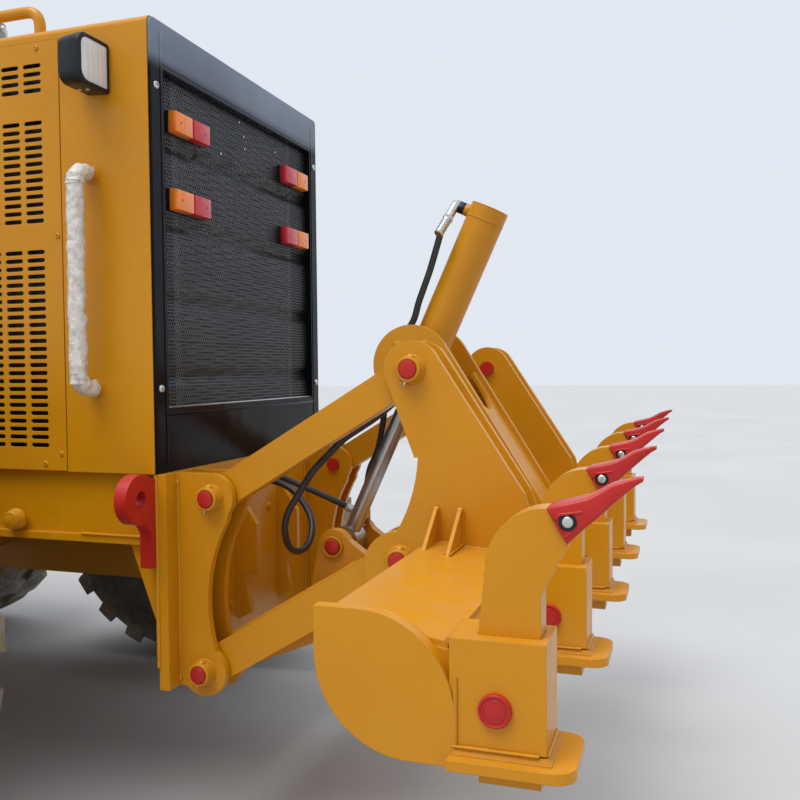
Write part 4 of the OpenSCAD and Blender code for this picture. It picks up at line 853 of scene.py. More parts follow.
def work_lamps():
    with parts(("work_lamp_housings", "chassis", "black_plastic", SMOOTH, ["work_lamps"], "black_paint"),
               ("work_lamp_bowls", "chassis", "mirror_bowl"), ("work_lamp_bulbs", "chassis", "zinc"),
               ("work_lamp_lenses", "chassis", "lamp_glass"),
               ("work_lamp_bolts", "chassis", "zinc", 0.0008)) as (shell, bowl, bulb, lens, bolts):
        for side in SIDES:
            for bm, rings in ((shell, LAMP_SHELL), (bowl, LAMP_BOWL), (lens, LAMP_DOME)):
                skin(bm, [housing_ring(side, *ring) for ring in rings])
            turned(bulb, [(0, 0.012), (0.003, 0.012), (0.005, 0.0085), (0.006, 0.001)],
                   at(0.1196, side * 0.5855, 2.074), BACK, 20)
            for x, z in ((0.140, 2.0135), (0.165, 2.0150)):
                hex_bolt(bolts, at(x, side * 0.580, z), (0, 0, -1), 0.006, 0.005)


HANDLE_X = 0.175
HANDLE_LEVELS = (1.808, 1.246)
RAIL_X = (0.380, 1.080)
RAIL_Y = 0.465


def grab_rails():
    """Bent tubes: a wrapped handle on each of the hood's rear corners, and a rail on each edge of its top."""
    with parts(("grab_rails", "chassis", "yellow_paint", SMOOTH, ["hood_grab_rails"]),
               ("handle_wraps", "chassis", "white_wrap")) as (bare, wrap):
        for side in SIDES:
            y, out = side * HOOD_Y, side * (HOOD_Y + 0.070)
            top, low = HANDLE_LEVELS
            upright_bar(bare, HANDLE_X, y - side * 0.004, out, HANDLE_LEVELS, 0.045, 8, 0.0155, 16)
            cover = [at(HANDLE_X, y + side * 0.020, top + 0.001), at(HANDLE_X, out, top),
                     at(HANDLE_X, out, low), at(HANDLE_X, y + side * 0.012, low)]
            sleeve = smooth_route(rounded(cover, 0.046, 10), 0.008)
            tube(wrap, sleeve, 0.0225, 18, wobble=0.0045, seed=side * 3.0)
            for z in HANDLE_LEVELS:
                turned(bare, [(0, 0.024), (0.004, 0.023), (0.006, 0.017)], at(HANDLE_X, y - side * 0.001, z),
                       (0, side, 0), 24)
            (x0, x1), y = RAIL_X, side * RAIL_Y
            rail = [at(x0, y, 2.203), at(x0, y, 2.285), at(x1, y, 2.285), at(x1, y, 2.203)]
            tube(bare, rounded(rail, 0.048, 8), 0.0155, 16)
            for x in RAIL_X:
                turned(bare, [(0, 0.026), (0.004, 0.025), (0.007, 0.017)], at(x, y, 2.2045), UP, 24)


# The ripper's linkage, [x, z] from the hood's rear face: the pins of the bracket and of the carriage.
SLOPE = math.radians(31)
LINK = 0.645
ALONG = (-math.cos(SLOPE), math.sin(SLOPE))
PIN_A = (-0.132, 0.956)
PIN_B = (-0.102, 0.492)
PIN_C = (PIN_B[0] + LINK * ALONG[0], PIN_B[1] + LINK * ALONG[1])
PIN_D = (PIN_A[0] + LINK * ALONG[0], PIN_A[1] + LINK * ALONG[1])
TRUNNION = (PIN_C[0] + 0.081, PIN_C[1] + 0.477)
ROD_PIN = (PIN_B[0] - 0.228, PIN_B[1] + 0.278)
BARREL_WAY = Vector((TRUNNION[0] - ROD_PIN[0], 0, TRUNNION[1] - ROD_PIN[1])).normalized()
PORT_WAY = Vector((BARREL_WAY[2], 0, -BARREL_WAY[0]))
BOSS_FACE = 0.498
PLATE_Y = 0.470
BEAM_REAR = -0.970
SOCKET_STEP = 0.5475
SOCKETS = range(-2, 3)

# Routes of the hoses, the same points as in part.scad, in metres.
LOOP_HOSE = [(-0.0435, 0.100, 0.955), (-0.090, 0.100, 0.957), (-0.150, 0.103, 0.950), (-0.202, 0.110, 0.927),
             (-0.236, 0.120, 0.895), (-0.267, 0.137, 0.857), (-0.282, 0.165, 0.816), (-0.283, 0.205, 0.785),
             (-0.274, 0.250, 0.779), (-0.270, 0.295, 0.805), (-0.274, 0.325, 0.857), (-0.291, 0.335, 0.906),
             (-0.321, 0.335, 0.954), (-0.364, 0.335, 1.017), (-0.415, 0.337, 1.068), (-0.458, 0.340, 1.107),
             (-0.506, 0.340, 1.138), (-0.546, 0.340, 1.164), (-0.600, 0.337, 1.207), (-0.673, 0.336, 1.278)]
STRAIGHT_HOSE = [(-0.0435, 0.018, 0.975), (-0.062, 0.017, 0.973), (-0.090, 0.009, 0.963),
                 (-0.130, -0.004, 0.944), (-0.180, -0.019, 0.921), (-0.230, -0.033, 0.898),
                 (-0.280, -0.048, 0.873), (-0.331, -0.065, 0.846)]
LIFT_HOSE = [(-0.352, -0.066, 0.856), (-0.358, -0.066, 0.875), (-0.370, -0.056, 0.925),
             (-0.386, -0.045, 0.983), (-0.416, -0.030, 1.038), (-0.443, 0.000, 1.110), (-0.460, 0.030, 1.164),
             (-0.460, 0.045, 1.225), (-0.472, 0.055, 1.285), (-0.495, 0.060, 1.340), (-0.530, 0.060, 1.385),
             (-0.563, 0.060, 1.427), (-0.580, 0.060, 1.480), (-0.596, 0.060, 1.522), (-0.615, 0.060, 1.572),
             (-0.636, 0.066, 1.632), (-0.654, 0.065, 1.690), (-0.661, 0.050, 1.709)]
LIFT_LOW, LIFT_HIGH = LIFT_HOSE[:9], LIFT_HOSE[8:]
HOSE_D = 0.019
HOSE_STEP = 0.010
FERRULE_R = 0.0135


def ferrule(name, body, tip, back, length=0.042):
    """A crimped steel sleeve over one end of a hose, with its hexagon beyond it."""
    r = FERRULE_R
    way = (back - tip).normalized()
    base = tip - way * 0.006
    rings = [(0.0, r * 0.8), (0.002, r)]
    for k in range(5):
        a = 0.004 + k * (length - 0.010) / 5
        rings += [(a, r), (a + 0.0035, r), (a + 0.0042, r * 0.93), (a + 0.0055, r * 0.93)]
    bm = bmesh.new()
    turned(bm, rings + [(length - 0.003, r), (length, r * 0.82)], base, way, 20)
    turned(bm, [(-0.011, r * 0.9), (-0.010, r * 1.16), (-0.0005, r * 1.16), (0.0, r * 0.9)], base, way, 6)
    return piece(bm, name, body, "zinc")


def hose(name, ends, points, bodies, node, last_sleeve=0.042):
    """A hydraulic hose along its route, and its ferrules, which ride on the bodies that hold its ends."""
    route = smooth_route([at(*p) for p in points], HOSE_STEP)
    sleeves = [ferrule(ends[0], bodies[0], route[0], route[3]),
               ferrule(ends[1], bodies[1], route[-1], route[-4], last_sleeve)]
    bm = bmesh.new()
    tube(bm, route, HOSE_D / 2, 16)
    obj = piece(bm, name, None, "rubber_hose")
    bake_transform(obj)
    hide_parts(node)


def hoses():
    """Two hoses from the bracket's wall, and one in two parts from the lower arm to the barrel's top port."""
    hose("loop_hose", ("loop_hose_end_wall", "loop_hose_end_swivel"), LOOP_HOSE,
         ("chassis", "ripper_upper_arms"), "wall_hoses")
    hose("straight_hose", ("straight_hose_end_wall", "straight_hose_end_arm"), STRAIGHT_HOSE,
         ("chassis", "ripper_lower_arm"), "wall_hoses")
    hose("lift_hose_lower", ("lift_hose_end_arm", "lift_hose_joiner_low"), LIFT_LOW,
         ("ripper_lower_arm", "ripper_carriage"), "cylinder_hose")
    hose("lift_hose_upper", ("lift_hose_joiner_high", "lift_hose_end_port"), LIFT_HIGH,
         ("ripper_carriage", "ripper_barrel"), "cylinder_hose", 0.060)


def barrel_port():
    """The elbow and nut that join the hose to the barrel's top port, and the barrel's rings."""
    axis = at(TRUNNION[0], 0, TRUNNION[1])
    port = axis + BARREL_WAY * 0.461
    elbow = port + PORT_WAY * 0.090 + Vector((0.006, 0.008, 0.004))
    end = at(*LIFT_HOSE[-1])
    way = (elbow - end).normalized()
    with part("port_elbow", "ripper_barrel", "zinc") as bm:
        bend = [end - way * 0.004, end + way * 0.030, elbow - way * 0.006,
                elbow + Vector((-0.004, -0.004, 0.001)), port + PORT_WAY * 0.084, port + PORT_WAY * 0.070]
        tube(bm, smooth_route(bend, 0.004), 0.0136, 16)
    with part("port_nut", "ripper_barrel", "black_plastic", 0.001) as bm:
        nut = [(0, 0.014), (0.001, 0.0195), (0.021, 0.0195), (0.022, 0.014)]
        turned(bm, nut, port + PORT_WAY * 0.066, PORT_WAY, 6)
    with part("barrel_rings", "ripper_barrel", "yellow_paint") as bm:
        turned(bm, [(0, 0.019), (0.016, 0.018), (0.019, 0.015)], port + PORT_WAY * 0.050, PORT_WAY, 28)
        seam_ring = [(0, 0.0550), (0.0008, 0.0562), (0.0032, 0.0562), (0.004, 0.0550)]
        lid_ring = [(0, 0.0550), (0.0005, 0.0556), (0.003, 0.0530), (0.0034, 0.046)]
        for along, ring in ((0.448, seam_ring), (0.052, seam_ring), (0.4876, lid_ring)):
            turned(bm, ring, axis + BARREL_WAY * along, BARREL_WAY, 64)
    with part("port_weld", "ripper_barrel", "yellow_paint") as bm:
        weld(bm, arc(port + PORT_WAY * 0.052, 0.019, count=24, plane=(BARREL_WAY, Y)), 0.0035)


def seam(bm, side, start, end, radius, seed=0, ripple=0.004):
    """A straight weld between two points on one side of the machine."""
    weld(bm, [at(x, side * y, z) for x, y, z in (start, end)], radius, seed, ripple)


NIPPLE = [(0, 0.0052), (0.003, 0.0052), (0.0035, 0.0032), (0.009, 0.0032), (0.0095, 0.0042), (0.012, 0.0030)]
WALL_BOLTS = [(0.099, 0.847), (-0.059, 0.850), (0.200, 0.905), (-0.200, 0.905),
              (0.200, 0.600), (-0.200, 0.600)]


def boss_trims():
    """Rims, welds, grease nipples and domed red caps on the linkage's bosses."""
    nipple_way = Vector((0.35, 0, -1)).normalized()
    for body, pins, name in (("chassis", (PIN_A, PIN_B), "bracket"),
                             ("ripper_carriage", (PIN_C, PIN_D), "carriage")):
        with parts((f"{name}_boss_rims", body, "yellow_paint"), (f"{name}_pin_caps", body, "red_paint"),
                   (f"{name}_grease_nipples", body, "zinc")) as (rims, caps, nipples):
            for side in SIDES:
                for n, (x, z) in enumerate(pins):
                    face = at(x, side * BOSS_FACE, z)
                    torus(rims, face - Y * side * 0.001, 0.0265, 0.0042)
                    torus(rims, face - Y * side * 0.0175, 0.0315, 0.0022)
                    weld(rims, arc(at(x, side * (PLATE_Y + 0.001), z), 0.0325), 0.0048, seed=n)
                    turned(rims, [(0, 0.010), (0.004, 0.0085), (0.0075, 0.004)],
                           at(x - 0.003, side * (BOSS_FACE - 0.012), z + 0.0295), UP, 14)
                    turned(caps, [(0.0035, 0.0215), (0.0052, 0.0208), (0.0060, 0.0180), (0.0068, 0.0100),
                                  (0.0070, 0.0005)], face, (0, side, 0), 36)
                    turned(nipples, NIPPLE, face - Y * side * 0.013 + nipple_way * 0.030, nipple_way, 12)
    with parts(("rod_pin_caps", "ripper_lower_arm", "red_paint"),
               ("rod_pin_rings", "ripper_lower_arm", "yellow_paint")) as (caps, rings):
        for side in SIDES:
            torus(rings, at(ROD_PIN[0], side * 0.1272, ROD_PIN[1]), 0.0285, 0.0034)
            shape = [(0.0, 0.0215), (0.003, 0.0215), (0.0042, 0.0195), (0.0050, 0.0100), (0.0052, 0.0005)]
            turned(caps, shape, at(ROD_PIN[0], side * 0.1275, ROD_PIN[1]), (0, side, 0), 36)


def bracket_trims():
    """Welds of the bracket's plates, bolts on its wall and knots of weld at the frame's joints."""
    low, high = 0.450, 1.018
    wall = -0.0315
    with part("bracket_welds", "chassis", "yellow_paint") as bm:
        for side in SIDES:
            for y in (PLATE_Y - 0.0005, PLATE_Y - 0.0205, 0.358, 0.337):
                seam(bm, side, (wall, y, low + 0.004), (wall, y, high), 0.0045, y * 9)
            seam(bm, side, (0.0005, 0.5205, low + 0.06), (0.0005, 0.5205, high), 0.0050, side)
            seam(bm, side, (-0.0010, 0.5150, low + 0.34), (-0.0010, 0.5150, high), 0.0060, side + 4)
            for y in (0.1295, 0.1505):
                seam(bm, side, (wall, y, 0.545), (wall, y, 0.925), 0.0040, y * 7)
            seam(bm, side, (0.004, 0.5160, 0.8525), (0.240, 0.5160, 0.8525), 0.0040, 2 * side)
            seam(bm, side, (0.020, 0.5005, 0.8285), (0.094, 0.5005, 0.8285), 0.0040, 3 * side)
            for x, z in ((-0.031, 0.9945), (-0.030, 0.470)):
                turned(bm, [(0, 0.0085), (0.004, 0.0075), (0.006, 0.003)], at(x, side * (PLATE_Y + 0.001), z),
                       (0, side, 0), 12)
    with part("wall_bolts", "chassis", "yellow_paint", 0.0008) as bm:
        for y, z in WALL_BOLTS:
            hex_bolt(bm, at(-0.030, y, z), BACK, 0.0105, 0.009)
    with part("rail_bosses", "chassis", "yellow_paint") as bm:
        for side in SIDES:
            turned(bm, [(0, 0.030), (0.012, 0.030), (0.020, 0.026), (0.030, 0.024), (0.034, 0.018)],
                   at(0.455, side * 0.512, 0.882), (0, side, 0), 28)
            torus(bm, at(0.455, side * 0.541, 0.882), 0.020, 0.005)
    with part("wall_fittings", "chassis", "zinc", 0.0008) as bm:
        for y, z in ((0.100, 0.955), (0.018, 0.975)):
            turned(bm, [(0, 0.0165), (0.0095, 0.0165), (0.0105, 0.0135)], at(-0.0295, y, z), BACK, 6)


def carriage_trims():
    """Welds of the towers, the beam and the sockets, the trunnion's bolts and the plugs' rings."""
    with part("carriage_welds", "ripper_carriage", "yellow_paint") as bm:
        for side in SIDES:
            weld(bm, arc(at(BEAM_REAR + 0.166, side * 1.130, 0.731), 0.1635, 176, 104, 12), 0.0040, seed=side)
            for y, seed in ((PLATE_Y + 0.002, side * 2), (0.116, side * 5)):
                seam(bm, side, (-0.950, y, 0.850), (-0.742, y, 0.8735), 0.0055, seed)
            for x in (-0.752, -0.811):
                for a in (x - 0.0008, x + 0.0098):
                    seam(bm, side, (a, 0.4712, 0.872), (a, 0.4712, 0.950), 0.0036, x * 40)
                    seam(bm, side, (a, 0.474, 0.8718), (a, 0.596, 0.8712), 0.0036, x * 50)
                turned(bm, [(-0.004, 0.0065), (0.004, 0.0085), (0.009, 0.0070), (0.0115, 0.003)],
                       at(x + 0.0045, side * 0.4765, 0.949), (0, side * 0.4, 1), 12)
        for k in SOCKETS:
            y = k * SOCKET_STEP
            rear, foot = BEAM_REAR - 0.0005, BEAM_REAR - 0.1465
            for half in (-0.0575, 0.0575):
                wide = y + half * 1.03
                seam(bm, 1, (rear, y + half, 0.690), (rear, y + half, 0.800), 0.0034, k + half * 30)
                seam(bm, 1, (BEAM_REAR - 0.1345, wide, 0.6885), (BEAM_REAR + 0.006, wide, 0.6885), 0.0028, k)
            seam(bm, 1, (foot, y - 0.052, 0.6885), (foot, y + 0.052, 0.6885), 0.0028, k + 9)
            ends = [(BEAM_REAR + 0.012, y - 0.050, 0.8555), (BEAM_REAR + 0.012, y + 0.050, 0.8550)]
            seam(bm, 1, *ends, 0.0060, k + 5)
    with part("trunnion_bolts", "ripper_carriage", "yellow_paint", 0.0006) as bm:
        for side in SIDES:
            centre = at(TRUNNION[0], side * 0.120, TRUNNION[1])
            for p in arc(centre, 0.069, 55, 335, 4):
                hex_bolt(bm, p, (0, side, 0), 0.0085, 0.008)
            torus(bm, centre, 0.049, 0.0035)
    with part("socket_plug_rims", "ripper_carriage", "red_paint") as bm:
        for k in SOCKETS:
            for side in SIDES:
                centre = at(-1.035, k * SOCKET_STEP + side * 0.0640, 0.753)
                torus(bm, centre, 0.0245, 0.0024)
                torus(bm, centre + Y * side * 0.0002, 0.0165, 0.0011)
                turned(bm, [(-0.001, 0.0235), (0.0004, 0.0165), (0.0016, 0.0120), (0.0020, 0.0005)], centre,
                       (0, side, 0), 28)


TIP_POINT = (-1.257, 1.117)
# Along a tip from its point to the nose: top (x, z), bottom (x, z) and half of its width, from the point.
TIP_STATIONS = [((0.000, 0.004), (0.001, -0.003), 0.011), ((0.010, 0.003), (0.012, -0.010), 0.0125),
                ((0.022, 0.000), (0.026, -0.022), 0.0150), ((0.046, -0.007), (0.046, -0.040), 0.0200),
                ((0.066, -0.019), (0.058, -0.051), 0.0255), ((0.083, -0.028), (0.070, -0.062), 0.0300),
                ((0.112, -0.036), (0.088, -0.077), 0.0335), ((0.139, -0.042), (0.106, -0.095), 0.0340),
                ((0.1445, -0.0455), (0.1115, -0.1005), 0.0335), ((0.1450, -0.0480), (0.1130, -0.1015), 0.0310)]
# The raised border round a tip's bolt, above and below it: x, z and lift, and the border's radius.
TIP_BORDERS = [([(0.1370, -0.0530, 0), (0.1300, -0.0630, 0), (0.1250, -0.0555, 0), (0.1130, -0.0535, 0),
                 (0.0900, -0.0500, -0.0030)], 0.0028),
               ([(0.1300, -0.0700, 0), (0.1200, -0.0860, 0), (0.1150, -0.0890, 0), (0.1100, -0.0850, 0),
                 (0.0960, -0.0700, -0.0015)], 0.0020)]


def tip_ring(centre, top, low, w):
    """A rounded section of a tip between its top and bottom points, half as wide as w."""
    top, low = (Vector((TIP_POINT[0] + x, 0, TIP_POINT[1] + z)) for x, z in (top, low))
    tall = (top - low).length
    up = (top - low).normalized()
    r = min(0.006, tall * 0.3, w * 0.3)
    ring = []
    for sy, h, start in ((1, tall - r, 0), (-1, tall - r, 90), (-1, r, 180), (1, r, 270)):
        ring += arc(at(low.x, centre + sy * (w - r), low.z) + up * h, r, start, start + 90, 3, (Y, up))
    return ring


def tips():
    """Red tips: forged wedges with rounded edges, a raised border round the bolt and a bolt in a dark ring."""
    with parts(("forged_tips", "ripper_carriage", "red_paint", SMOOTH, ["ripper_tips"]),
               ("tip_ridges", "ripper_carriage", "red_paint"),
               ("tip_bolt_rings", "ripper_carriage", "black_plastic"),
               ("tip_bolts", "ripper_carriage", "zinc")) as (body, ridge, rings, bolts):
        for centre in (k * SOCKET_STEP for k in SOCKETS):
            skin(body, [tip_ring(centre, *station) for station in TIP_STATIONS])
            for side in SIDES:
                def on_face(x, z, lift=0.0):
                    return at(TIP_POINT[0] + x, centre + side * (0.0337 + lift), TIP_POINT[1] + z)
                for border, radius in TIP_BORDERS:
                    tube(ridge, smooth_route([on_face(*p) for p in border], 0.004), radius, 8)
                spot = on_face(0.112, -0.066)
                turned(rings, [(-0.002, 0.0142), (0.0012, 0.0142), (0.0020, 0.0128), (0.0012, 0.0086)], spot,
                       (0, side, 0), 28)
                dome = [(0.0, 0.0086), (0.0024, 0.0085), (0.0034, 0.0074), (0.0038, 0.0045), (0.0038, 0.0005)]
                turned(bolts, dome, spot, (0, side, 0), 28)


def tow_trims():
    """The rims of the tow lugs' holes."""
    with part("tow_hole_rims", "chassis", "red_paint") as bm:
        for side in SIDES:
            for x in (-0.0003, 0.0353):
                torus(bm, at(x, side * 0.588, 0.963), 0.0232, 0.0012, (Y, Z))


def arm_trims():
    """Welds along the lower arm's cover and round its lugs, and the union on its near face."""
    with part("arm_welds", "ripper_lower_arm", "yellow_paint") as bm:
        for side in SIDES:
            for y, h, ends in ((0.4105, 0.0495, (0.095, 0.512)), (0.1195, 0.0502, (0.200, 0.400)),
                               (0.0840, 0.0502, (0.200, 0.400))):
                x, z = PIN_B[0] + ALONG[1] * h, PIN_B[1] - ALONG[0] * h
                run = [(x + ALONG[0] * t, y, z + ALONG[1] * t) for t in ends]
                seam(bm, side, *run, 0.0036, y * 20 + side)
    with part("arm_union", "ripper_lower_arm", "zinc", 0.0006) as bm:
        union = [(0, 0.0135), (0.010, 0.0135), (0.011, 0.0115), (0.019, 0.0115)]
        turned(bm, union, at(-0.352, -0.066, 0.8520), UP, 6)
        hex_bolt(bm, at(-0.3520, -0.0755, 0.8000), BACK, 0.006, 0.005)


# Wheels: tyres with chevron lugs, and the rims' nuts and valves.
WHEEL_Z = 0.675
WHEEL_Y = 1.0775
AXLES = (("rear", 0.820), ("middle", 2.360), ("front", 7.790))
LUGS = 24
CARCASS_STEPS = 96
# The carcass from the bead to the middle of the tread: radius and distance from the tyre's middle.
TYRE_SKIN = [(0.3182, 0.158), (0.322, 0.170), (0.333, 0.178), (0.338, 0.186), (0.345, 0.1885), (0.365, 0.198),
             (0.395, 0.2115), (0.398, 0.2105), (0.402, 0.2130), (0.430, 0.2200), (0.4475, 0.2222),
             (0.470, 0.2222), (0.498, 0.2205), (0.501, 0.2180), (0.506, 0.2195), (0.535, 0.2160),
             (0.560, 0.2120), (0.585, 0.2060), (0.604, 0.1990), (0.622, 0.1880), (0.634, 0.1720),
             (0.641, 0.1500), (0.6445, 0.1000), (0.6455, 0.0500), (0.6460, 0.0)]
# A lug from mid tread over the shoulder: distance across, foot radius, top radius, turn and half width.
LUG_SECTIONS = [(0.010, 0.640, 0.6745, 0.0, 0.038), (0.060, 0.640, 0.6745, 1.6, 0.040),
                (0.120, 0.638, 0.6735, 3.6, 0.043), (0.165, 0.632, 0.6700, 5.1, 0.045),
                (0.192, 0.618, 0.6600, 5.9, 0.044), (0.2065, 0.595, 0.6380, 6.2, 0.040),
                (0.2110, 0.575, 0.6080, 6.3, 0.034)]
# Around a lug's section: how far below its top, or None at its foot, and the share of its half width.
LUG_OUTLINE = ((None, 1.16), (0.004, 1.0), (0.0, 0.93), (0.0, -0.93), (0.004, -1.0), (None, -1.16))


def tyre_mesh(bm, flip):
    """A tyre about its own axle along Y: a turned carcass and two rows of slanted lugs."""
    profile = TYRE_SKIN + [(r, -y) for r, y in reversed(TYRE_SKIN[:-1])]
    carcass = [[(r * math.cos(a), y, r * math.sin(a)) for r, y in profile] for a in angles(CARCASS_STEPS)]
    skin(bm, carcass, around=True)
    for row in SIDES:
        for k in range(LUGS):
            sections = []
            for y, foot, top, turn, half in LUG_SECTIONS:
                mid = math.radians(360 / LUGS * (k + (0.5 if row < 0 else 0)) + flip * turn)
                turns = [(foot if drop is None else top - drop, mid + share * half / WHEEL_Z)
                         for drop, share in LUG_OUTLINE]
                sections.append([(r * math.cos(a), row * y, r * math.sin(a)) for r, a in turns])
            skin(bm, sections)


def wheels():
    for axle, x in AXLES:
        for side, name in NAMED_SIDES:
            body = f"wheel_{axle}_{name}"
            centre = at(x, side * WHEEL_Y, WHEEL_Z)
            out = Y * side
            bm = bmesh.new()
            tyre_mesh(bm, side)
            piece(bm, f"lugged_tyre_{axle}_{name}", body, "tyre", SMOOTH, [f"tyre_{axle}_{name}"],
                  place=centre)
            with part(f"wheel_nuts_{axle}_{name}", body, "zinc", 0.001) as bm:
                for p in arc(centre + out * 0.0525, 0.154, 15, 345, 11):
                    hex_bolt(bm, p, out, 0.0155, 0.018, 1.25)
                for p in arc(centre + out * 0.1035, 0.070, 0, 315, 7):
                    hex_bolt(bm, p, out, 0.008, 0.007)
                turned(bm, [(0, 0.026), (0.006, 0.026), (0.009, 0.022)], centre + out * 0.1035, out, 8)
            with part(f"valve_{axle}_{name}", body, "rubber_hose") as bm:
                stem = centre + X * 0.262 + out * 0.0845
                valve = [stem, stem + X * 0.006 + out * 0.020, stem + X * 0.020 + out * 0.034]
                tube(bm, smooth_route(valve, 0.004), 0.0045, 10)
                turned(bm, [(0, 0.0065), (0.012, 0.0065), (0.014, 0.0045)], stem + X * 0.019 + out * 0.033,
                       (0.8, side * 0.6, 0), 12)


# Cab, seat and the machine's front, by the usual build of such machines.
CAB_REAR, CAB_FRONT, CAB_SIDE = 2.450, 4.050, 0.700
CORNER = ((3.700, 0.700), (4.050, 0.430))
PANE_LOW, PANE_HIGH = 1.340, 3.070
SILL = 1.950
STEP_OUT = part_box("side_steps")[1][1]
PULL_IN = 0.045


def cushion(bm, origin, along, across, up, half, low, high, channels=(), cells=44):
    """A crowned, closed pad with sides pulled in and sewn channels across it. Returns its rim."""
    def sheet_point(i, j, height, power):
        u, v = -1 + 2 * i / cells, -1 + 2 * j / cells
        x = half[0] * u * (1 - PULL_IN * (1 - v * v))
        y = half[1] * v * (1 - PULL_IN * (1 - u * u))
        crown = ((1 - u ** 6) * (1 - v ** 6)) ** power
        if height > 0:
            for c in channels:
                crown *= 1 - 0.22 * math.exp(-((u * half[0] - c) / 0.007) ** 2)
            crown *= 1 + 0.10 * (1 - u * u) * (1 - v * v)
        return origin + along * x + across * y + up * (height * crown)

    places = range(cells + 1)
    top = [[bm.verts.new(sheet_point(i, j, high, 0.50)) for j in places] for i in places]
    under = [[top[i][j] if i in (0, cells) or j in (0, cells) else bm.verts.new(sheet_point(i, j, -low, 0.38))
              for j in places] for i in places]
    for i in range(cells):
        for j in range(cells):
            for m in (top, under):
                bm.faces.new((m[i][j], m[i + 1][j], m[i + 1][j + 1], m[i][j + 1]))
    rim = rim_of(cells, cells)
    return [top[i][j].co.copy() for i, j in rim + rim[:1]]


SEAT_SHELL = [(3.320, 1.555), (3.322, 1.585), (2.900, 1.572), (2.868, 1.590), (2.772, 2.262), (2.742, 2.268),
              (2.722, 2.240), (2.810, 1.600), (2.850, 1.545), (2.900, 1.535)]
SEAT_LEAN = math.radians(10)


def seat():
    """The operator's seat: two padded cushions with piping, arm pads, a moulded shell and a bellows."""
    rise = Vector((-math.sin(SEAT_LEAN), 0, math.cos(SEAT_LEAN)))
    ahead = Vector((math.cos(SEAT_LEAN), 0, math.sin(SEAT_LEAN)))
    back_at = at(2.830, 0, 1.690) + ahead * 0.062 + rise * 0.305
    pads = [("seat_cushion", at(3.090, 0, 1.618), X, Y, Z, (0.236, 0.236), 0.052, 0.066, (-0.10, 0.06)),
            ("seat_back", back_at, rise, Y, ahead, (0.300, 0.222), 0.042, 0.058, (-0.12, 0.02, 0.16))]
    with part("seat_piping", "chassis", "black_plastic") as piping:
        for name, *form in pads:
            bm = bmesh.new()
            tube(piping, cushion(bm, *form), 0.0045, 8)
            piece(bm, name, "chassis", "black_fabric", SMOOTH, ["operator_seat"])
    for side, name in NAMED_SIDES:
        bm = bmesh.new()
        cushion(bm, at(3.020, side * 0.268, 1.845), X, Y, Z, (0.135, 0.030), 0.016, 0.020, (), 20)
        piece(bm, f"arm_pad_{name}", "chassis", "black_fabric")
    with part("seat_shell", "chassis", "black_plastic", 0.006) as bm:
        prism(bm, [(x + HOOD_X, z) for x, z in SEAT_SHELL], -0.216, 0.216)
        for side in SIDES:
            arm = [at(2.830, side * 0.222, 1.700), at(2.830, side * 0.268, 1.815),
                   at(3.110, side * 0.268, 1.815)]
            tube(bm, rounded(arm, 0.035), 0.011, 12)
    with part("seat_bellows", "chassis", "black_plastic") as bm:
        folds = [(0.0, 0.150), (0.010, 0.156)]
        for base in (0.042 * k for k in range(5)):
            folds += [(0.022 + base, 0.150), (0.040 + base, 0.116), (0.050 + base, 0.116)]
        turned(bm, folds + [(0.232, 0.150), (0.246, 0.140)], at(3.070, 0, 1.2915), UP, 40)


def gasket(bm, first, last, low, high, inward, radius=0.009):
    """A rubber seal round an upright opening between two (x, y) places, moved inward from the wall's face."""
    pts = [at(*p, z) + Vector(inward) for p, z in ((first, low), (last, low), (last, high), (first, high))]
    middle = (pts[0] + pts[2]) / 2
    start = (pts[0] + pts[1]) / 2
    path = rounded([start, pts[1], pts[2], pts[3], pts[0], start], 0.045)
    tube(bm, [p + (middle - p).normalized() * radius * 0.6 for p in path], radius, 8)


def cab_seals(bm):
    """A seal round each of the cab's panes."""
    gasket(bm, (CAB_REAR, -0.610), (CAB_REAR, 0.610), SILL, PANE_HIGH, X * 0.020)
    gasket(bm, (CAB_FRONT, -0.380), (CAB_FRONT, 0.380), PANE_LOW, PANE_HIGH, X * -0.020)
    for side in SIDES:
        y = side * CAB_SIDE
        gasket(bm, (2.540, y), (2.886, y), SILL, PANE_HIGH, Y * side * -0.020)
        a, b = (Vector((x, side * y, 0)) for x, y in CORNER)
        along = (b - a).normalized()
        inward = Vector((along.y, -along.x, 0)) * side
        gasket(bm, (a + along * 0.060)[:2], (b - along * 0.060)[:2], PANE_LOW, PANE_HIGH, inward * 0.020)


# A mirror's shell from its back to the recess of its pane: x and half of its width and height.
MIRROR_SHELL = [(3.835, 0.060, 0.130), (3.830, 0.082, 0.158), (3.800, 0.092, 0.168), (3.784, 0.092, 0.168),
                (3.780, 0.088, 0.164), (3.788, 0.084, 0.160)]
MIRROR_PANE = [(3.7875, 0.0835, 0.1595), (3.7860, 0.0815, 0.1575)]


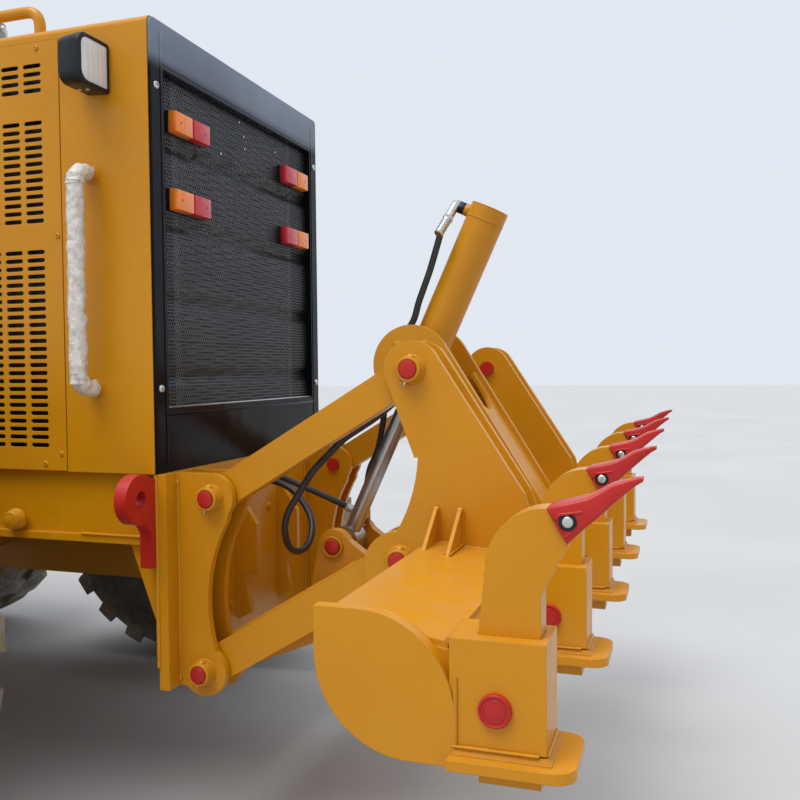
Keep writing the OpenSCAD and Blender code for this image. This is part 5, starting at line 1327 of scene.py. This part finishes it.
def cab_trims():
    """Seals round the panes, mirrors and wipers."""
    with parts(("cab_seals", "chassis", "black_plastic"), ("mirrors_and_wipers", "chassis", "black_plastic"),
               ("mirror_panes", "chassis", "mirror_bowl", FLAT)) as (seals, black, glass):
        cab_seals(seals)
        for side in SIDES:
            root, tip = at(3.760, side * 0.665, 2.980), at(3.800, side * 0.985, 2.940)
            tube(black, rounded([root, tip + Z * 0.060, tip - Z * 0.160], 0.05), 0.010, 12)
            turned(black, [(0, 0.028), (0.008, 0.027), (0.014, 0.016)], at(3.757, side * 0.655, 2.980),
                   (0.63, side * 0.77, 0), 20)
            for bm, shape in ((black, MIRROR_SHELL), (glass, MIRROR_PANE)):
                skin(bm, [[at(x, side * 0.985 + w * c, 2.720 + h * s) for c, s in rounded_square(0.30)]
                          for x, w, h in shape])
        for x, way, y, foot in ((CAB_FRONT, 1, 0.060, -0.190), (CAB_REAR, -1, -0.100, 0.160)):
            turned(black, [(-0.004, 0.024), (0.014, 0.024), (0.020, 0.014)], at(x, y, 3.118), (way, 0, 0), 20)
            tube(black, [at(x + way * 0.016, y, 3.118), at(x + way * 0.012, (y + foot) / 2, 2.840),
                         at(x - way * 0.012, foot, 2.560)], 0.0065, 8)
            blade_x = x - way * 0.016
            tube(black, [at(blade_x, foot - 0.015, 2.810), at(blade_x, foot + 0.015, 2.310)], 0.0075, 6)


def lamp_head(shell, lens, base, way, w, h, depth):
    """A square lamp that faces along X, with its clear lens."""
    def rings(shape):
        return [[base + Vector((way * d * depth, c * w * k, s * h * k)) for c, s in rounded_square(0.30)]
                for d, k in shape]
    skin(shell, rings([(0.0, 0.70), (0.15, 0.88), (0.6, 1.0), (1.0, 1.0), (1.0, 0.94), (0.90, 0.91)]))
    skin(lens, rings([(0.91, 0.925), (0.97, 0.92), (1.0, 0.86), (1.02, 0.6)]))


def cab_lamps():
    """Square lamps on the roof's edge, two ahead and two behind, and the headlamps on the nose."""
    with parts(("roof_lamp_shells", "chassis", "black_plastic"),
               ("roof_lamp_lenses", "chassis", "lamp_glass")) as (shells, lenses):
        for x, way, y in ((4.090, 1, -0.24), (4.090, 1, 0.24), (2.410, -1, -0.50), (2.410, -1, 0.50)):
            lamp_head(shells, lenses, at(x, y, 3.246), way, 0.058, 0.036, 0.058)
    with parts(("headlamp_shells", "front_frame", "black_plastic"),
               ("headlamp_lenses", "front_frame", "lamp_glass"),
               ("headlamp_bar", "front_frame", "black_paint")) as (shells, lenses, bar):
        for y in (-0.290, 0.290):
            lamp_head(shells, lenses, at(8.330, y, 1.350), 1, 0.078, 0.062, 0.085)
            tube(bar, [at(8.365, y, 1.206), at(8.365, y, 1.292)], 0.013, 12)
        tube(bar, [at(8.365, -0.330, 1.2165), at(8.365, 0.330, 1.2165)], 0.019, 16)


def door_trims():
    """Seal, handle, lock and inner grab bar of each cab door."""
    for side, name in NAMED_SIDES:
        with parts((f"door_seal_{name}", f"cab_door_{name}", "black_plastic"),
                   (f"door_handle_{name}", f"cab_door_{name}", "black_plastic")) as (seals, handle):
            y = side * CAB_SIDE
            gasket(seals, (3.027, y), (3.563, y), 1.611, 3.029, Y * side * -0.012, 0.008)
            upright_bar(handle, 3.600, side * 0.699, side * 0.742, (2.080, 1.860), 0.022, 5, 0.0085)
            foot = [(0, 0.018), (0.003, 0.017), (0.005, 0.010)]
            lock = [(0, 0.014), (0.004, 0.0135), (0.005, 0.006)]
            for z, shape in ((2.080, foot), (1.860, foot), (1.790, lock)):
                turned(handle, shape, at(3.600, side * 0.6995, z), (0, side, 0), 20)
            upright_bar(handle, 3.040, side * 0.652, side * 0.610, (2.130, 2.560), 0.025, 5, 0.010)


def console_trims():
    """Control levers with knobs beside the console, and the gauge panel's bezels."""
    with parts(("lever_rods", "chassis", "zinc"), ("lever_knobs", "chassis", "black_plastic"),
               ("gauge_bezels", "chassis", "zinc")) as (rods, knobs, dials):
        for side in SIDES:
            for k in range(4):
                x = 3.560 - 0.035 * k
                low = at(x, side * (0.085 - 0.012 * k), 1.960 - 0.014 * k)
                top = at(x - 0.045, side * (0.150 + 0.028 * k), 2.075)
                bend = (low + top) / 2 + Vector((0, side * 0.012, -0.008))
                tube(rods, smooth_route([low, bend, top], 0.02), 0.005, 8)
                knob = [(-0.004, 0.006), (0.004, 0.012), (0.016, 0.016), (0.028, 0.012), (0.032, 0.003)]
                turned(knobs, knob, top, (-0.2, side * 0.3, 1), 16)
        for y in (-0.055, 0.0, 0.055):
            turned(dials, [(0, 0.022), (0.004, 0.022), (0.005, 0.018), (0.003, 0.0165)], at(3.598, y, 2.046),
                   (-0.28, 0, 0.96), 24)


STACK = (1.250, -0.260)
CLEANER = (1.950, 0.260)


def hood_top():
    """The exhaust's clamps and rain flap, the air cleaner's bands and slats, the filler cap and the seams."""
    with parts(("stack_bands", "chassis", "zinc"), ("rain_flap", "chassis", "steel"),
               ("filler_cap", "chassis", "black_plastic"),
               ("hood_seams", "chassis", "black_plastic")) as (pipe, flap, cap, seams):
        for z, r in ((2.225, 0.0765), (2.590, 0.0765), (2.640, 0.0515)):
            turned(pipe, [(0, r), (0.003, r + 0.004), (0.017, r + 0.004), (0.020, r)], at(*STACK, z), UP, 36)
            hex_bolt(pipe, at(STACK[0] - r - 0.004, STACK[1], z + 0.010), BACK, 0.007, 0.012)
        for z in (2.415, 2.520):
            band = [(0, 0.1305), (0.003, 0.1345), (0.015, 0.1345), (0.018, 0.1305)]
            turned(pipe, band, at(*CLEANER, z), UP, 40)
        slats = at(*CLEANER, 2.396)
        for ends in zip(*(arc(slats, r, 0, 337.5, 15, (X, Y)) for r in (0.0600, 0.1180))):
            tube(pipe, ends, 0.003, 6)
        turned(flap, [(0, 0.0545), (0.003, 0.0545), (0.006, 0.050)], at(*STACK, 2.9455), (0.10, 0, 1), 32)
        tube(flap, [at(1.188, -0.290, 2.946), at(1.188, -0.230, 2.946)], 0.006, 10)
        filler = [(-0.001, 0.052), (0.012, 0.052), (0.020, 0.047), (0.022, 0.030),
                  (0.034, 0.026), (0.036, 0.010)]
        turned(cap, filler, at(0.700, 0.0, 2.200), UP, 36)
        for x in (1.240, 2.180):
            seam(seams, 1, (x, -0.500, 2.2005), (x, 0.500, 2.2005), 0.0022, ripple=0.05)


# Treads of the steps: height, how far the outer edge is set in, and depth.
TREADS = ((0.450, 0.0, 0.200), (0.720, 0.100, 0.150), (1.000, 0.185, 0.060))
STUD = [(-0.001, 0.013), (0.0035, 0.0105), (0.0045, 0.008)]


def step_grips():
    """Raised studs on the treads of the steps."""
    with part("step_studs", "chassis", "black_plastic") as bm:
        for side in SIDES:
            for z, inset, depth in TREADS:
                rows = max(1, round(depth / 0.050))
                for x in (3.160 + 0.050 * i for i in range(9)):
                    for j in range(rows):
                        y = STEP_OUT - 0.010 - inset - depth + (j + 0.5) * depth / rows
                        turned(bm, STUD, at(x, side * y, z + 0.030), UP, 10)


GOOSENECK_EDGES = ([(4.230, 1.330), (4.570, 1.930), (7.330, 1.800), (7.950, 1.240), (8.490, 1.184)],
                   [(4.720, 1.597), (7.120, 1.480), (7.416, 1.124)])


KINGPIN = (7.790, 0.790)


def frame_trims():
    """Welds of the gooseneck, the caps of the front axle's kingpins, and the lift barrels' rings and ports."""
    with part("gooseneck_welds", "front_frame", "yellow_paint") as bm:
        for side in SIDES:
            for run in GOOSENECK_EDGES:
                weld(bm, [at(x, side * 0.1300, z) for x, z in run], 0.0055, ripple=0.014)
            for x in (5.432, 5.568):
                seam(bm, side, (x, 0.1305, 1.640), (x, 0.1305, 1.808), 0.006)
            seam(bm, side, (8.4995, 0.130, 0.935), (8.4995, 0.130, 1.178), 0.006)
    for side, name in NAMED_SIDES:
        with part(f"kingpin_cap_{name}", f"knuckle_{name}", "yellow_paint", 0.001) as bm:
            foot = at(KINGPIN[0], side * KINGPIN[1], 0.8055)
            turned(bm, [(0, 0.050), (0.010, 0.050), (0.016, 0.044), (0.017, 0.020)], foot, UP, 36)
            for p in arc(foot + Z * 0.015, 0.035, 45, 315, 3, (X, Y)):
                hex_bolt(bm, p, UP, 0.006, 0.005)
    for side, name in NAMED_SIDES:
        barrel = f"lift_barrel_{name}"
        with part(f"{barrel}_rings", barrel, "yellow_paint") as bm:
            top = at(5.500, side * 0.440, 1.750)
            way = (top - at(5.350, side * 0.440, 1.080)).normalized()
            out = Vector((-way.z, 0, way.x))
            turned(bm, [(-0.003, 0.036), (-0.002, 0.047), (0.004, 0.0545), (0.030, 0.0545), (0.036, 0.0505)],
                   top - way * 0.200, way, 40)
            turned(bm, [(0.548, 0.0505), (0.552, 0.0540), (0.588, 0.0540), (0.596, 0.046), (0.598, 0.010)],
                   top - way * 0.030, way, 40)
            for t in (-0.120, 0.500):
                turned(bm, [(0.046, 0.016), (0.062, 0.016), (0.064, 0.012), (0.072, 0.012), (0.074, 0.004)],
                       top + way * t, out, 16)


CIRCLE_X = 5.300
PINION_X = CIRCLE_X - 0.440
TEETH = 90
# Half of a tooth's outline: radius, and share of half a pitch.
TOOTH = ((0.581, 0.62), (0.566, 0.50), (0.557, 0.26))


def circle_trims():
    """The turning circle's teeth and drive, the shoes' bolts on the drawbar and the drawbar's welds."""
    with part("circle_teeth", "circle", "yellow_paint", FLAT) as bm:
        half = math.pi / TEETH
        outline = [*TOOTH, *((r, -f) for r, f in reversed(TOOTH))]
        for a in angles(TEETH):
            turns = [(r, a + half * f) for r, f in outline]
            tooth = [(CIRCLE_X + HOOD_X + r * math.cos(t), r * math.sin(t)) for r, t in turns]
            prism(bm, tooth, 0.818, 0.882, "z")
    with part("circle_drive", "drawbar", "yellow_paint", 0.002) as bm:
        turned(bm, [(1.0045, 0.095), (1.030, 0.095), (1.034, 0.072), (1.085, 0.072), (1.090, 0.062),
                    (1.165, 0.062), (1.172, 0.054)], at(PINION_X, 0, 0), UP, 36)
        for p in arc(at(PINION_X, 0, 1.030), 0.083, 0, 300, 5, (X, Y)):
            hex_bolt(bm, p, UP, 0.009, 0.008)
        for side in SIDES:
            port = [(0.058, 0.015), (0.078, 0.015), (0.080, 0.011), (0.088, 0.011)]
            turned(bm, port, at(PINION_X, 0, 1.130), (0, side, 0), 16)
    with part("shoe_bolts", "drawbar", "zinc", 0.0008) as bm:
        for x, y in ((a, b) for a in (CIRCLE_X - 0.460, CIRCLE_X + 0.460) for b in (-0.300, 0.300)):
            for dx, dy in ((a, b) for a in (-0.028, 0.028) for b in (-0.028, 0.028)):
                hex_bolt(bm, at(x + dx, y + dy, 1.005), UP, 0.0095, 0.009)
    with part("drawbar_welds", "drawbar", "yellow_paint") as bm:
        for side in SIDES:
            for y in (0.3815, 0.4105, 0.4745, 0.4985):
                seam(bm, side, (5.302, y, 1.0065), (5.398, y, 1.0065), 0.0045)


# The blade's curve: its centre, x and z, and its bolts' angle below the level.
BLADE_X, BLADE_Z = 5.840, 0.465
BOLT_ANGLE = math.radians(42)
EDGE_BOLTS = 24
EDGE_L = 3.505


def blade_arc(y, radius, start, end, count):
    """Points on the blade's curve at y, from one angle to another above its centre's rear."""
    return arc(at(BLADE_X, y, BLADE_Z), radius, 180 + start, 180 + end, count)


def blade_trims():
    """Plough bolts along the cutting edges with nuts behind, the edges' joints and the ribs' welds."""
    with parts(("edge_bolts", "moldboard", "steel"), ("edge_nuts", "moldboard", "steel", 0.0008),
               ("edge_joints", "moldboard", "black_plastic"),
               ("blade_welds", "moldboard", "yellow_paint")) as (heads, nuts, joints, welds):
        out = Vector((math.cos(BOLT_ANGLE), 0, math.sin(BOLT_ANGLE)))
        for k in range(EDGE_BOLTS):
            centre = at(BLADE_X, EDGE_L * (k / (EDGE_BOLTS - 1) - 0.5), BLADE_Z)
            dome_bolt(heads, centre - out * 0.3895, out, 0.0130, 0.0045)
            hex_bolt(nuts, centre - out * 0.4300, -out, 0.0125, 0.012)
        for y in (-1.625, 0.0, 1.625):
            tube(joints, blade_arc(y, 0.3894, 30, 50, 5), 0.0022, 6)
        for y in (1.2085, 1.2515, -1.2085, -1.2515):
            weld(welds, blade_arc(y, 0.4315, -26, 26, 13), 0.005)


for step in (camera, hoses, stage, dress_frame, barrel_port, side_panels, grille, tail_lamps, work_lamps,
             grab_rails, boss_trims, bracket_trims, carriage_trims, tips, tow_trims, arm_trims, wheels, seat,
             cab_trims, cab_lamps, door_trims, console_trims, hood_top, step_grips, frame_trims, circle_trims,
             blade_trims):
    step()
